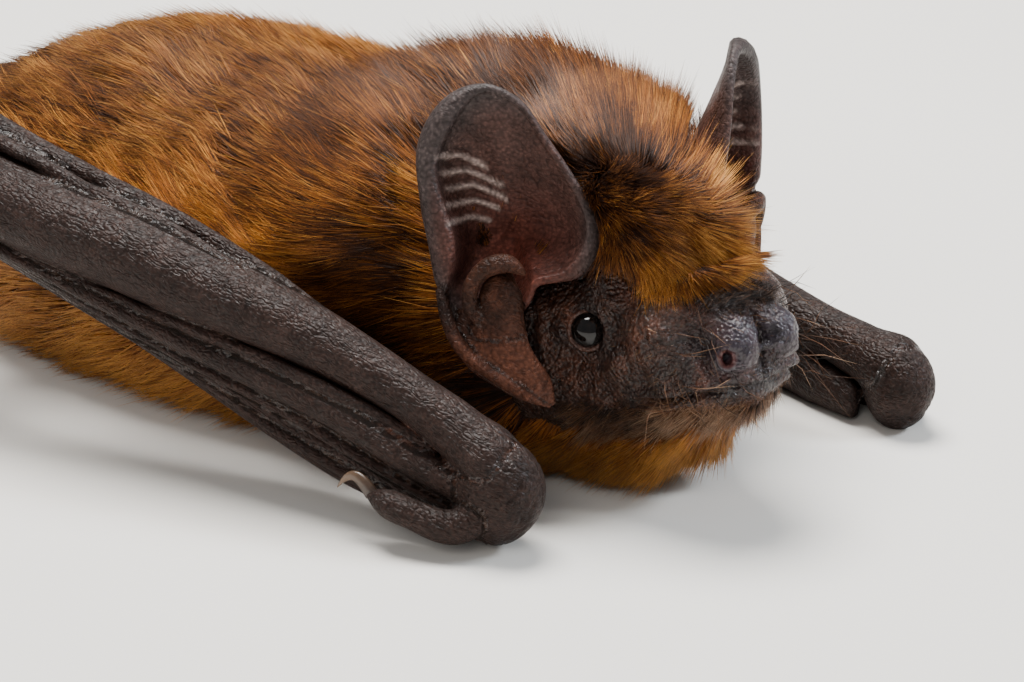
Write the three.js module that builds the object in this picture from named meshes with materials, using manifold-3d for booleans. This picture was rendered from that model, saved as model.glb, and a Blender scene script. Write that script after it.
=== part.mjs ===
// A life-size still model of a common noctule bat lying on its belly with both wings folded.
// Millimetres, +Z up. The head points to -Y, the bat's left side to +X, and the floor is Z = 0.
// The furred nodes end at the tips of the coat.
// Bare skin, such as the muzzle, ears and wings, ends at the skin.
import * as THREE from "three";
import { mergeVertices } from "three/addons/utils/BufferGeometryUtils.js";
import Module from "manifold-3d";

const wasm = await Module();
wasm.setup();

// Driving dimensions
const GAP = 0.3; // between neighbouring nodes
const SLIVER = 0.03; // the most that clearing short edges after a cut moves a surface
const FLOOR = 0;
const HEAD_MIDDLE = new THREE.Vector3(0, 0, 10); // halfway between the two eyes
const HEAD_YAW = 11; // degrees, the head turned to the bat's right
const HEAD_PITCH = 11; // degrees, the nose raised
const SPINE_X = 1.2; // the trunk's middle plane
const EYE_RADIUS = 0.95;
const EYE_OUT = 5; // from the head's middle plane to the eye's centre
const EAR_AT = { forward: -3, out: 8.8, up: 2.4 }; // middle of the ear's opening at its base
const EAR_FACING = { forward: 0.68, out: 0.7, up: 0.15 };
const EAR_THICKNESS = 0.7;
const EAR_LEAN = { right: 0, left: 16 }; // degrees that each ear leans toward its opening
const EAR_TURN = { right: 0, left: 18 }; // degrees that each ear turns toward its front edge
const NECK_CUT_Y = 15;
const HEAD_CUT_FORWARD = -9;
const MUZZLE_CUT_FORWARD = 2;
const JAW_BACK_FORWARD = -6;
const ARMS = {
  right: {
    side: -1,
    wrist: [-12.3, 0.5, 3.3],
    elbow: [-17.8, 48, 17],
    shoulder: [-3.5, 22, 10],
    bow: 1,
    knob: 1,
  },
  left: {
    side: 1,
    wrist: [14.2, -6, 2.6],
    elbow: [20.2, 43.5, 9],
    shoulder: [5.9, 22, 9],
    bow: 0.15,
    knob: 0.84,
  },
};
// How far a bowed forearm rises over the straight line from wrist to elbow: place from the wrist, rise.
const BOW_ROWS = [
  [-3, 0],
  [0, 0.5],
  [5, 1.6],
  [10, 2.03],
  [15, 2],
  [20, 1.53],
  [25, 1.15],
  [30, 0.5],
  [36, 0],
  [60, 0],
];
const FOLDED_DEPTH = 4.2; // from the middle of the forearm down to the lowest fold of the hand
const LEGS = {
  right: {
    side: -1,
    hip: [-4.5, 50, 6.5],
    knee: [-15, 58.5, 6.8],
    ankle: [-11.5, 75, 2.6],
    toes: [-14.5, 82.5, 0.9],
  },
  left: {
    side: 1,
    hip: [6.9, 50, 6.5],
    knee: [16.8, 57, 5.2],
    ankle: [14.5, 74, 2.6],
    toes: [18, 81, 0.9],
  },
};
// The folded side membrane of each wing hangs from behind the elbow down to the ankle.
const SIDE_FOLDS = {
  right: [[-15.7, 52.0, 11.6], [-17.3, 56.5, 8.4], [-18.0, 61, 5.6], [-16.6, 68, 3.3], [-14.6, 74, 2.2]],
  left: [[18.9, 47.5, 5.6], [19.6, 52, 4.9], [19.6, 58, 4.0], [18.6, 66, 2.9], [17.2, 72.5, 2.1]],
};
const TAIL = [[1.2, 57, 3.4], [1.4, 66, 1.9], [1.2, 78, 1.3], [-0.5, 90, 1.1], [-3.5, 101, 0.8]];
const TAIL_RADIUS = 1.15;
const MEMBRANE_THICKNESS = 0.7;
const CLAWS = 5; // on each hind foot
const HEAD_SQUARENESS = 0.78; // 1 is an ellipse, and less is squarer
const TRUNK_SQUARENESS = 0.9;
const STRIP_END = 0.25; // half thickness and half depth at the ends of a rounded strip

// The head's own directions, from its yaw and pitch
const yaw = THREE.MathUtils.degToRad(HEAD_YAW);
const pitch = THREE.MathUtils.degToRad(HEAD_PITCH);
const FORWARD = new THREE.Vector3(
  -Math.sin(yaw) * Math.cos(pitch),
  -Math.cos(yaw) * Math.cos(pitch),
  Math.sin(pitch),
);
const RIGHT = new THREE.Vector3(-Math.cos(yaw), Math.sin(yaw), 0);
const UP = new THREE.Vector3().crossVectors(RIGHT, FORWARD);
const Z_AXIS = new THREE.Vector3(0, 0, 1);

// A point given by how far forward, right and up it lies from the middle of the head.
function headPoint(forward, right, up) {
  const point = HEAD_MIDDLE.clone();
  point.addScaledVector(FORWARD, forward);
  point.addScaledVector(RIGHT, right);
  return point.addScaledVector(UP, up);
}

const vector = (list) => new THREE.Vector3(...list);
const power = (value, exponent) => Math.sign(value) * Math.abs(value) ** exponent;

// Rings of points joined side by side, closed at each end by a fan on the ring's middle.
function closedRings(rings) {
  const around = rings[0].length;
  const middle = (ring) => ring.reduce((sum, p) => sum.add(p), new THREE.Vector3()).divideScalar(around);
  const points = [...rings.flat(), middle(rings[0]), middle(rings.at(-1))];
  const first = points.length - 2;
  const last = points.length - 1;
  const faces = [];
  for (let j = 0; j < around; j++) {
    const k = (j + 1) % around;
    for (let i = 0; i + 1 < rings.length; i++) {
      const a = i * around;
      const b = a + around;
      faces.push(a + j, b + j, b + k, a + j, b + k, a + k);
    }
    const end = (rings.length - 1) * around;
    faces.push(first, j, k, last, end + k, end + j);
  }
  const geometry = new THREE.BufferGeometry().setFromPoints(points);
  geometry.setIndex(faces);
  return geometry;
}

// A geometry as a solid, turned the right way out.
function solid(geometry) {
  const bare = geometry.clone();
  bare.deleteAttribute("normal");
  bare.deleteAttribute("uv");
  const merged = mergeVertices(bare, 1e-4);
  const build = (triVerts) =>
    new wasm.Manifold(new wasm.Mesh({ numProp: 3, vertProperties: merged.attributes.position.array, triVerts }));
  const made = build(new Uint32Array(merged.index.array));
  return made.volume() > 0 ? made : build(new Uint32Array(merged.index.array).reverse());
}

// The largest piece left by the cuts, without the slivers along their edges.
const largest = (made) => made.decompose().sort((a, b) => b.volume() - a.volume())[0].simplify(SLIVER);

// The side of a solid that lies past a plane, given by a point on it and the direction kept.
function keep(made, point, direction, shift = 0) {
  const unit = direction.clone().normalize();
  return made.trimByPlane(unit.toArray(), unit.dot(point) + shift);
}

// A solid whose cross-section changes along a path: at(t) gives the middle, two axes and the half sizes along them.
function loft(at, steps, around, grow = 0) {
  const rings = [];
  for (let i = 0; i <= steps; i++) {
    const { middle, across, upward, width, above, below = above, exponent = 1 } = at(i / steps);
    const ring = [];
    for (let j = 0; j < around; j++) {
      const angle = (2 * Math.PI * j) / around;
      const side = power(Math.cos(angle), exponent) * (width + grow);
      const height = power(Math.sin(angle), exponent) * ((Math.sin(angle) > 0 ? above : below) + grow);
      const p = middle.clone().addScaledVector(across, side).addScaledVector(upward, height);
      p.z = Math.max(p.z, FLOOR);
      ring.push(p);
    }
    rings.push(ring);
  }
  return solid(closedRings(rings));
}

// Values between the rows of a table, by their first column.
function between(rows) {
  const keys = rows.map((row) => row[0]);
  const values = rows.flatMap((row) => row.slice(1));
  return (key) => [...new THREE.CubicInterpolant(keys, values, rows[0].length - 1).evaluate(key)];
}

// A round limb along a smooth path. radii gives rows of place from 0 to 1, radius and flatness.
function limb(points, radii, { steps = 12, around = 10, grow = 0 } = {}) {
  const path = new THREE.CatmullRomCurve3(points, false, "centripetal");
  const size = between(radii);
  return loft(
    (t) => {
      const along = path.getTangentAt(t);
      const across = new THREE.Vector3().crossVectors(along, Z_AXIS).normalize();
      const upward = new THREE.Vector3().crossVectors(across, along);
      const [radius, flatness] = size(t);
      const shift = grow * (t < 0.5 ? -1 : 1) * Math.abs(2 * t - 1) ** 8;
      const middle = path.getPointAt(t).addScaledVector(along, shift);
      return { middle, across, upward, width: radius, above: radius * flatness };
    },
    steps,
    around,
    grow,
  );
}

// Trunk, neck and head as one body

// A cross-section of the head: place forward, half width, and how far its top and bottom lie above the eyes' level.
function headRow(forward, halfWidth, top, bottom) {
  const level = (top + bottom) / 2;
  const c = headPoint(forward, 0, level);
  return [c.x, c.y, c.z, HEAD_YAW, HEAD_PITCH, halfWidth, top - level, level - bottom, HEAD_SQUARENESS];
}

// A cross-section of the trunk: its Y, half width, top, the height where it is widest, and bottom.
function trunkRow(y, halfWidth, top, level, bottom) {
  return [SPINE_X, y, level, 0, 0, halfWidth, top - level, level - bottom, TRUNK_SQUARENESS];
}

// Exponents of the cross-sections' rounded corners: 1 is an ellipse and less is squarer.
const BODY_ROWS = [
  headRow(8.7, 1.1, -0.1, -2.0),
  headRow(8.2, 2.2, 0.6, -2.8),
  headRow(7.2, 3.1, 1.4, -4.4),
  headRow(5.6, 4.1, 2.6, -5.7),
  headRow(3.4, 4.8, 4.8, -7.4),
  headRow(1.2, 5.5, 7.6, -9),
  headRow(-1, 6.8, 10, -10),
  headRow(-4, 8.4, 12, -10.6),
  headRow(-8, 9.8, 13.5, -10.4),
  trunkRow(14, 12, 22.2, 9, -3),
  trunkRow(20, 13.2, 19.2, 8, -4.4),
  trunkRow(28, 13.6, 18.9, 7.4, -5),
  trunkRow(36, 13, 18.6, 7, -5),
  trunkRow(44, 11.2, 16.2, 6.4, -4),
  trunkRow(50, 8.8, 12.6, 5.6, -2.4),
  trunkRow(55, 5.8, 9, 4.8, -0.6),
  trunkRow(58.5, 3, 6.4, 4, 1.4),
  trunkRow(60, 0.9, 4.8, 3.9, 3),
];

// The swollen glands of the snout and the two short nostril tubes: place forward, out, up and the three half sizes.
const SNOUT_SWELLINGS = [
  [4.2, 2.7, 0.4, 2.7, 2.0, 2.1],
  [7.3, 1.9, -1.1, 1.2, 1.2, 1.2],
];

function snoutSwelling([forward, out, up, long, wide, high], side, grow) {
  const ball = new THREE.SphereGeometry(1, 10, 7).scale(long + grow, wide + grow, high + grow);
  const place = new THREE.Matrix4().makeBasis(FORWARD, RIGHT.clone().negate(), UP);
  return solid(ball.applyMatrix4(place.setPosition(headPoint(forward, side * out, up))));
}

function bodySolid(grow = 0) {
  const places = [0];
  BODY_ROWS.slice(1).forEach((row, i) => {
    const step = vector(row.slice(0, 3)).distanceTo(vector(BODY_ROWS[i].slice(0, 3)));
    places.push(places[i] + step);
  });
  const length = places.at(-1);
  const rowAt = between(BODY_ROWS.map((row, i) => [places[i], ...row]));
  let body = loft(
    (t) => {
      const [x, y, z, turn, tilt, width, above, below, exponent] = rowAt(t ** 1.3 * length);
      const facing = new THREE.Euler(THREE.MathUtils.degToRad(-tilt), 0, THREE.MathUtils.degToRad(-turn), "ZYX");
      const across = new THREE.Vector3(-1, 0, 0).applyEuler(facing);
      const upward = new THREE.Vector3(0, 0, 1).applyEuler(facing);
      return { middle: new THREE.Vector3(x, y, z), across, upward, width, above, below, exponent };
    },
    28,
    20,
    grow,
  );
  for (const row of SNOUT_SWELLINGS) {
    body = body.add(snoutSwelling(row, 1, grow)).add(snoutSwelling(row, -1, grow));
  }
  return body;
}

function bodyParts() {
  const body = bodySolid();
  const back = new THREE.Vector3(0, 1, 0);
  const neckCut = new THREE.Vector3(0, NECK_CUT_Y, 0);
  const headCut = headPoint(HEAD_CUT_FORWARD, 0, 0);
  const muzzleCut = headPoint(MUZZLE_CUT_FORWARD, 0, 0);
  const jawBack = headPoint(JAW_BACK_FORWARD, 0, 0);
  const lips = headPoint(8.2, 0, -3);
  const mouthCorner = headPoint(1.5, 0, -4.2);
  const palate = new THREE.Vector3().crossVectors(lips.clone().sub(mouthCorner), RIGHT).normalize();
  if (palate.z < 0) palate.negate();
  const chin = palate.clone().negate();
  const backward = FORWARD.clone().negate();
  const front = keep(body, headCut, FORWARD, GAP / 2);
  const jaw = keep(keep(front, jawBack, FORWARD, GAP / 2), lips, chin, GAP / 2);
  const skull = keep(front, lips, palate, GAP / 2).add(keep(front, jawBack, backward, GAP / 2));
  return {
    trunk: keep(body, neckCut, back, GAP / 2),
    neck: keep(keep(body, neckCut, back.clone().negate(), GAP / 2), headCut, backward, GAP / 2),
    head: keep(skull, muzzleCut, backward, GAP / 2),
    muzzle: keep(skull, muzzleCut, FORWARD, GAP / 2),
    lower_jaw: jaw,
  };
}

// Head pieces, for side 1 on the bat's right and -1 on its left

function eye(side, grow = 0) {
  const at = headPoint(0.2, side * EYE_OUT, 0);
  return solid(new THREE.SphereGeometry(EYE_RADIUS + grow, 12, 8).translate(at.x, at.y, at.z));
}

// The ear's own frame: toward its front edge, up along it, and out of its opening.
function earFrame(side) {
  const lean = THREE.MathUtils.degToRad(side > 0 ? EAR_LEAN.right : EAR_LEAN.left);
  const turn = THREE.MathUtils.degToRad(side > 0 ? EAR_TURN.right : EAR_TURN.left);
  const facing = new THREE.Vector3()
    .addScaledVector(FORWARD, EAR_FACING.forward)
    .addScaledVector(RIGHT, side * EAR_FACING.out)
    .addScaledVector(UP, EAR_FACING.up)
    .normalize();
  const toFront = new THREE.Vector3()
    .addScaledVector(FORWARD, EAR_FACING.out)
    .addScaledVector(RIGHT, -side * EAR_FACING.forward)
    .normalize();
  const upEar = new THREE.Vector3().crossVectors(toFront, facing).normalize();
  if (upEar.z < 0) upEar.negate();
  const tilt = upEar.clone().cross(facing);
  const roll = toFront.clone().cross(upEar).dot(facing) > 0 ? -turn : turn;
  for (const direction of [facing, toFront, upEar]) {
    direction.applyAxisAngle(facing, roll);
  }
  for (const direction of [facing, toFront, upEar]) {
    direction.applyAxisAngle(tilt, lean);
  }
  return { at: headPoint(EAR_AT.forward, side * EAR_AT.out, EAR_AT.up), facing, toFront, upEar };
}

// Height up the ear, its back edge, its front edge, and how deep the cup is.
const EAR_ROWS = [
  [-4.6, -0.6, 1.4, 0.4],
  [-2.5, -2.0, 2.0, 1.2],
  [-0.5, -2.6, 3.2, 2.4],
  [1.2, -2.9, 5.2, 3.1],
  [2.8, -3.1, 6.0, 3.3],
  [5.4, -3.25, 5.1, 2.5],
  [8.2, -3.15, 3.7, 1.7],
  [10.0, -2.2, 2.7, 1.0],
  [10.9, -0.8, 1.9, 0.7],
  [11.15, 0.2, 0.9, 0.3],
];

// A cupped leaf of even thickness: at each height a crescent from the back edge to the front edge.
// With an open depth the leaf is filled that far out of its opening, which makes the hollow it needs in the head.
function ear(side, grow = 0, open = 0) {
  const { at, facing, toFront, upEar } = earFrame(side);
  const rowAt = between(EAR_ROWS);
  const rings = [];
  const steps = 10;
  const across = 7;
  const low = EAR_ROWS[0][0];
  const high = EAR_ROWS.at(-1)[0];
  for (let i = 0; i <= steps; i++) {
    const height = low + (high - low) * (i / steps) ** 0.85;
    const [backEdge, frontEdge, depth] = rowAt(height);
    const end = grow * ((2 * i) / steps - 1) ** 9;
    const point = (x, layer) => {
      const b = (backEdge + frontEdge) / 2 + x * ((frontEdge - backEdge) / 2 + grow);
      const leaf = -depth * (1 - x * x) + layer * (EAR_THICKNESS / 2 + grow) * Math.sqrt(1.05 - x * x);
      const n = layer > 0 && open > 0 ? open : leaf;
      const onLeaf = at.clone().addScaledVector(toFront, b).addScaledVector(upEar, height + end);
      return onLeaf.addScaledVector(facing, n);
    };
    const ring = [];
    for (let j = 0; j < across; j++) ring.push(point(Math.cos((Math.PI * j) / across) * 1, 1));
    for (let j = 0; j < across; j++) ring.push(point(-Math.cos((Math.PI * j) / across), -1));
    rings.push(ring);
  }
  return solid(closedRings(rings));
}

// The tragus: a short kidney-shaped flap that stands in front of the ear's opening.
function tragus(side) {
  const { at, facing, toFront, upEar } = earFrame(side);
  const lobe = new THREE.Shape();
  lobe.moveTo(0.9, -2.2);
  lobe.quadraticCurveTo(2.3, -0.6, 2.3, 0.9);
  lobe.quadraticCurveTo(2.0, 2.1, 0.7, 2.05);
  lobe.quadraticCurveTo(-1.3, 1.7, -1.25, -0.1);
  lobe.quadraticCurveTo(-1.1, -1.2, -0.3, -1.9);
  lobe.closePath();
  const flap = new THREE.ExtrudeGeometry(lobe, { depth: 0.8, bevelEnabled: false, curveSegments: 5 });
  const middle = at.clone().addScaledVector(facing, 0.1);
  const place = new THREE.Matrix4().makeBasis(toFront, upEar, facing).setPosition(middle);
  return solid(flap.applyMatrix4(place));
}

// Wings

// The folded arm's own frame: along it from wrist to elbow, outward from the body, and down across it.
function armFrame({ side, wrist, elbow }) {
  const along = vector(elbow).sub(vector(wrist));
  const length = along.length();
  along.normalize();
  const outward = new THREE.Vector3().crossVectors(along, Z_AXIS).normalize();
  if (outward.x * side < 0) outward.negate();
  const down = new THREE.Vector3().crossVectors(along, outward);
  if (down.z > 0) down.negate();
  return { along, outward, down, length, wrist: vector(wrist) };
}

// A strip that follows the arm. rows: place along it in mm, middle outward, middle down, half thickness, half depth.
// The rows are those of a straight arm; the bow lifts the forearm and spreads the folds under it.
function strip(arm, rows, { grow = 0, steps = 10, around = 8 } = {}) {
  const { along, outward, down, wrist } = armFrame(arm);
  const rowAt = between(rows);
  const bowAt = between(BOW_ROWS);
  const start = rows[0][0];
  const run = rows.at(-1)[0] - start;
  return loft(
    (t) => {
      const place = start + run * t;
      const [out, straightLow, thick, straightDeep] = rowAt(place);
      const rise = arm.bow * bowAt(place)[0];
      const share = THREE.MathUtils.clamp(1 - straightLow / FOLDED_DEPTH, 0, 1);
      const low = straightLow - rise * share;
      const deep = straightLow > 0.5 ? straightDeep * (1 + rise / FOLDED_DEPTH) : straightDeep;
      const end = grow * (t < 0.5 ? -1 : 1) * Math.abs(2 * t - 1) ** 8;
      const middle = wrist.clone().addScaledVector(along, place + end);
      middle.addScaledVector(outward, out).addScaledVector(down, low);
      const sunk = Math.max(0, FLOOR + deep - middle.z);
      middle.addScaledVector(outward, 2.5 * sunk).setZ(middle.z + sunk);
      return { middle, across: outward, upward: down, width: thick, above: deep };
    },
    steps,
    around,
    grow,
  );
}

const cutAway = (body, tool) => body.subtract(tool);

function wing(arm) {
  const { along, outward, down, length, wrist } = armFrame(arm);
  const knuckle = (grow = 0) => {
    const half = [2.7, 2.3, 3].map((size) => size * arm.knob + grow);
    const ball = new THREE.SphereGeometry(1, 12, 8).scale(...half);
    const at = wrist.clone().addScaledVector(along, 0.2);
    const across = outward.clone().cross(along).negate();
    const place = new THREE.Matrix4().makeBasis(along, outward, across).setPosition(at);
    return keep(solid(ball.applyMatrix4(place)), new THREE.Vector3(0, 0, FLOOR), Z_AXIS);
  };
  const forearm = (grow = 0) =>
    strip(
      arm,
      [
        [1, 0, -0.5, 1.5, 1.6],
        [6, 0, -0.45, 1.4, 1.4],
        [10, 0, -0.4, 1.5, 1.5],
        [15, 0, -0.3, 1.85, 1.85],
        [20, 0, -0.2, 2.1, 2.1],
        [28, 0, -0.1, 2.3, 2.3],
        [36, 0, 0, 2.2, 2.2],
        [46, 0, 0, 2.1, 2.1],
        [length + 0.5, 0, 0, 1.5, 1.6],
        [length + 2, 0, 0, STRIP_END, STRIP_END],
      ],
      { grow, steps: 12, around: 9 },
    );
  const digit3 = (grow = 0) =>
    strip(arm, [
      [1.5, 0.5, 1.5, 1.1, 0.6],
      [8, 0.8, 1.6, 1.5, 0.75],
      [15, 0.8, 1.9, 1.5, 0.7],
      [25, 0.6, 2.45, 1.4, 0.45],
      [38, 0.2, 2.65, 1.0, 0.3],
      [47, 0.1, 2.65, 0.7, 0.3],
      [50, 0.1, 2.65, STRIP_END, STRIP_END],
    ], { grow });
  const digit4 = (grow = 0) =>
    strip(arm, [
      [1.5, 0.1, 2.5, 1.1, 0.4],
      [8, 0.5, 2.95, 1.4, 0.45],
      [15, 0.4, 3.05, 1.4, 0.42],
      [25, 0.2, 3.3, 1.3, 0.33],
      [38, -0.1, 3.5, 1.0, 0.28],
      [45, -0.2, 3.5, 0.7, 0.28],
      [48, -0.2, 3.5, STRIP_END, STRIP_END],
    ], { grow });
  const digit5 = (grow = 0) =>
    strip(arm, [
      [5, -0.3, 3.6, 0.9, 0.35],
      [8, 0.1, 3.9, 1.1, 0.4],
      [25, -0.2, 4.05, 1.0, 0.34],
      [36, -0.5, 4.3, 0.8, 0.28],
      [42, -0.6, 4.3, 0.6, 0.28],
      [44.5, -0.6, 4.3, STRIP_END, STRIP_END],
    ], { grow });
  const innerFold = strip(arm, [
    [4, -2.0, 2.6, 0.4, 0.6],
    [10, -2.2, 3.6, 0.5, 1.3],
    [25, -2.4, 3.4, 0.5, 1.5],
    [40, -2.5, 3.0, 0.5, 1.4],
    [length, -2.4, 2.8, 0.5, 1.2],
    [length + 2, -2.4, 2.7, STRIP_END, 0.6],
  ]);
  const frontFold = strip(arm, [
    [14, -1.5, -2.1, 0.4, 0.4],
    [22, -1.8, -2.4, 0.6, 0.6],
    [30, -2.1, -2.6, 0.9, 0.9],
    [40, -2.4, -2.6, 1.0, 1.1],
    [length - 3, -2.6, -2.0, STRIP_END, 0.5],
  ]);
  const beside = (out, back, height) => {
    const point = wrist.clone().addScaledVector(outward, out);
    return point.addScaledVector(along, back).setZ(height);
  };
  const raise = wrist.z - 2.8;
  const thumbRoot = beside(2.1 * arm.knob, 1.6, 1.2 + raise);
  const thumbMiddle = beside(3, 4.2, 1.7 + raise);
  const thumbEnd = beside(3, 6.8, 2.2 + raise);
  const clawMiddle = beside(3, 8, 2.4 + raise);
  const clawTip = beside(2.7, 9, 1.8 + raise);
  const thumbRadii = [[0, 1, 1], [0.5, 0.85, 1], [0.85, 0.7, 1], [1, 0.35, 1]];
  const thumb = (grow = 0) =>
    limb([thumbRoot, thumbMiddle, thumbEnd], thumbRadii, { steps: 7, around: 8, grow });
  const clawRadii = [[0, 0.45, 1], [0.5, 0.35, 1], [1, 0.12, 1]];
  const claw = limb([thumbEnd, clawMiddle, clawTip], clawRadii, { steps: 4, around: 6 });
  const upperRadii = [[0, 2.6, 1], [0.5, 2.3, 1], [0.9, 1.8, 1], [1, 0.8, 1]];
  const upperArm = (grow = 0) =>
    limb([vector(arm.shoulder), vector(arm.elbow)], upperRadii, { steps: 8, grow });
  const hand = digit3(GAP).add(digit4(GAP)).add(digit5(GAP));
  return {
    wrist: knuckle(),
    forearm: forearm().subtract(knuckle(GAP)),
    digit_3: digit3().subtract(knuckle(GAP)).subtract(forearm(GAP)),
    digit_4: digit4().subtract(knuckle(GAP)).subtract(digit3(GAP)),
    digit_5: digit5().subtract(knuckle(GAP)).subtract(digit4(GAP)),
    wing_membrane: [knuckle(GAP), hand, forearm(GAP), upperArm(GAP)].reduce(cutAway, innerFold),
    front_membrane: frontFold.subtract(forearm(GAP)).subtract(upperArm(GAP)),
    thumb: thumb().subtract(knuckle(GAP)).subtract(hand),
    thumb_claw: claw.subtract(thumb(GAP)),
    upper_arm: upperArm().subtract(forearm(GAP)).subtract(hand),
  };
}

// The space that the back of a folded wing needs, with a gap round it.
function wingSpace(arm) {
  const { length } = armFrame(arm);
  const rows = [
    [length - 14, -1.2, 0.6, 1.8, 3.1],
    [length, -1.2, 0.6, 1.8, 3.1],
    [length + 2.3, -1.2, 1.0, 1.4, 2.6],
  ];
  return strip(arm, rows, { grow: GAP });
}

// Hind legs and tail

// The pieces of one leg, or the space they need with a gap round them.
function leg({ hip, knee, ankle, toes }, gap = 0) {
  const [hipAt, kneeAt, ankleAt, toesAt] = [hip, knee, ankle, toes].map(vector);
  const thighRadii = [[0, 3.6, 1], [0.5, 3.1, 1], [0.9, 2.2, 1], [1, 1, 1]];
  const shinRadii = [[0, 1.2, 1], [0.2, 1.7, 1], [0.8, 1.2, 1], [1, 1, 1]];
  const thigh = (grow = 0) => limb([hipAt, kneeAt], thighRadii, { steps: 7, grow: gap + grow });
  const shin = (grow = 0) =>
    limb([kneeAt, ankleAt], shinRadii, { steps: 6, around: 8, grow: gap + grow });
  const reach = toesAt.clone().sub(ankleAt).setZ(0).normalize();
  const spread = new THREE.Vector3(-reach.y, reach.x, 0);
  const sole = ankleAt.clone().addScaledVector(reach, 3).setZ(1.2);
  const ball = sole.clone().addScaledVector(reach, 2).setZ(1);
  const footRadii = [[0, 1.2, 1], [0.6, 1.8, 0.7], [1, 1.6, 0.6]];
  const toeRadii = [[0, 0.5, 1], [0.8, 0.42, 1], [1, 0.25, 1]];
  const nailRadii = [[0, 0.32, 1], [0.5, 0.28, 1], [1, 0.1, 1]];
  let foot = limb([ankleAt, sole, ball], footRadii, { steps: 4, around: 8, grow: gap });
  const claws = {};
  for (let i = 0; i < CLAWS; i++) {
    const fan = (i - (CLAWS - 1) / 2) * 0.8;
    const way = reach.clone().addScaledVector(spread, fan * 0.14).normalize();
    const root = sole.clone().addScaledVector(reach, 1.2);
    root.addScaledVector(spread, fan).setZ(0.9);
    const tip = root.clone().addScaledVector(way, 5).setZ(0.75);
    const joint = root.clone().lerp(tip, 0.5).setZ(1.1);
    foot = foot.add(limb([root, joint, tip], toeRadii, { steps: 2, around: 5, grow: gap }));
    const clawRoot = tip.clone().addScaledVector(way, GAP + 0.05);
    const clawMiddle = clawRoot.clone().addScaledVector(way, 1.1).setZ(0.95);
    const clawTip = clawRoot.clone().addScaledVector(way, 2).setZ(0.15);
    const nail = limb([clawRoot, clawMiddle, clawTip], nailRadii, { steps: 2, around: 5, grow: gap });
    claws[`claw_${i + 1}`] = nail;
  }
  if (gap > 0) return { thigh: thigh(), shin: shin(), foot, ...claws };
  return {
    thigh: thigh(),
    shin: shin().subtract(thigh(GAP)),
    foot: foot.subtract(shin(GAP)),
    ...claws,
  };
}

const tailPath = TAIL.map(vector);
const tailRadii = [
  [0, TAIL_RADIUS * 1.7, 1],
  [0.25, TAIL_RADIUS, 0.95],
  [0.8, TAIL_RADIUS * 0.7, 1],
  [1, 0.3, 1],
];
const tail = (grow = 0) => limb(tailPath, tailRadii, { steps: 14, around: 8, grow });

// The tail membrane of one side: a thin, lightly folded sheet from thigh, shin and ankle in to the tail.
function tailMembrane({ side, hip, knee, ankle }) {
  const front = new THREE.Vector3(SPINE_X, 52.5, 4);
  const inner = new THREE.CatmullRomCurve3([front, ...tailPath], false, "centripetal");
  const underThigh = vector(hip).add(new THREE.Vector3(side * 3, 2.6, -0.8));
  const heel = vector(ankle).add(new THREE.Vector3(side * 0.5, 1, 0));
  const trailing = tailPath[3].clone().add(new THREE.Vector3(side * 5.5, 0, 0));
  const outerPath = [underThigh, vector(knee), heel, trailing, tailPath.at(-1)];
  const outer = new THREE.CatmullRomCurve3(outerPath, false, "centripetal");
  const steps = 9;
  const folds = 4;
  const rings = [];
  for (let i = 0; i <= steps; i++) {
    const t = i / steps;
    const a = inner.getPoint(0.91 * t);
    const b = outer.getPoint(0.93 * t);
    const sheet = (x, lift) => {
      const p = a.clone().lerp(b, x);
      const fold = 0.5 * Math.sin(x * Math.PI * 2) ** 2 * (1 - t);
      p.z = FLOOR + 0.3 + (p.z - 0.4) * 0.5 + fold + lift;
      return p;
    };
    const ring = [];
    for (let j = 0; j <= folds; j++) ring.push(sheet(j / folds, 0));
    for (let j = folds; j >= 0; j--) ring.push(sheet(j / folds, MEMBRANE_THICKNESS));
    rings.push(ring);
  }
  return solid(closedRings(rings));
}

// The folded side membrane of one wing: a narrow upright band that hangs from elbow to ankle.
function sideMembrane(points) {
  const heights = [[0, 0.45, 3.4], [0.3, 0.45, 3.8], [0.6, 0.45, 2.8], [1, 0.4, 1.4]];
  return limb(points.map(vector), heights, { steps: 8, around: 8 });
}

// The object

const COLOURS = {
  coat: { color: 0x8a4f22, roughness: 0.85 },
  face: { color: 0x2b211d, roughness: 0.6 },
  skin: { color: 0x3a3331, roughness: 0.6 },
  ear: { color: 0x453834, roughness: 0.6 },
  eye: { color: 0x050505, roughness: 0.08 },
  claw: { color: 0x5a4a3c, roughness: 0.4 },
};

const bat = new THREE.Group();

function add(name, made, finish) {
  const mesh = largest(made).getMesh();
  const points = new Float32Array(mesh.numVert * 3);
  for (let i = 0; i < mesh.numVert; i++) {
    points.set(mesh.vertProperties.subarray(i * mesh.numProp, i * mesh.numProp + 3), i * 3);
  }
  const geometry = new THREE.BufferGeometry();
  geometry.setAttribute("position", new THREE.BufferAttribute(points, 3));
  geometry.setIndex(new THREE.BufferAttribute(mesh.triVerts, 1));
  geometry.computeVertexNormals();
  const node = new THREE.Mesh(geometry, new THREE.MeshStandardMaterial(COLOURS[finish]));
  node.name = name;
  bat.add(node);
}

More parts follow.
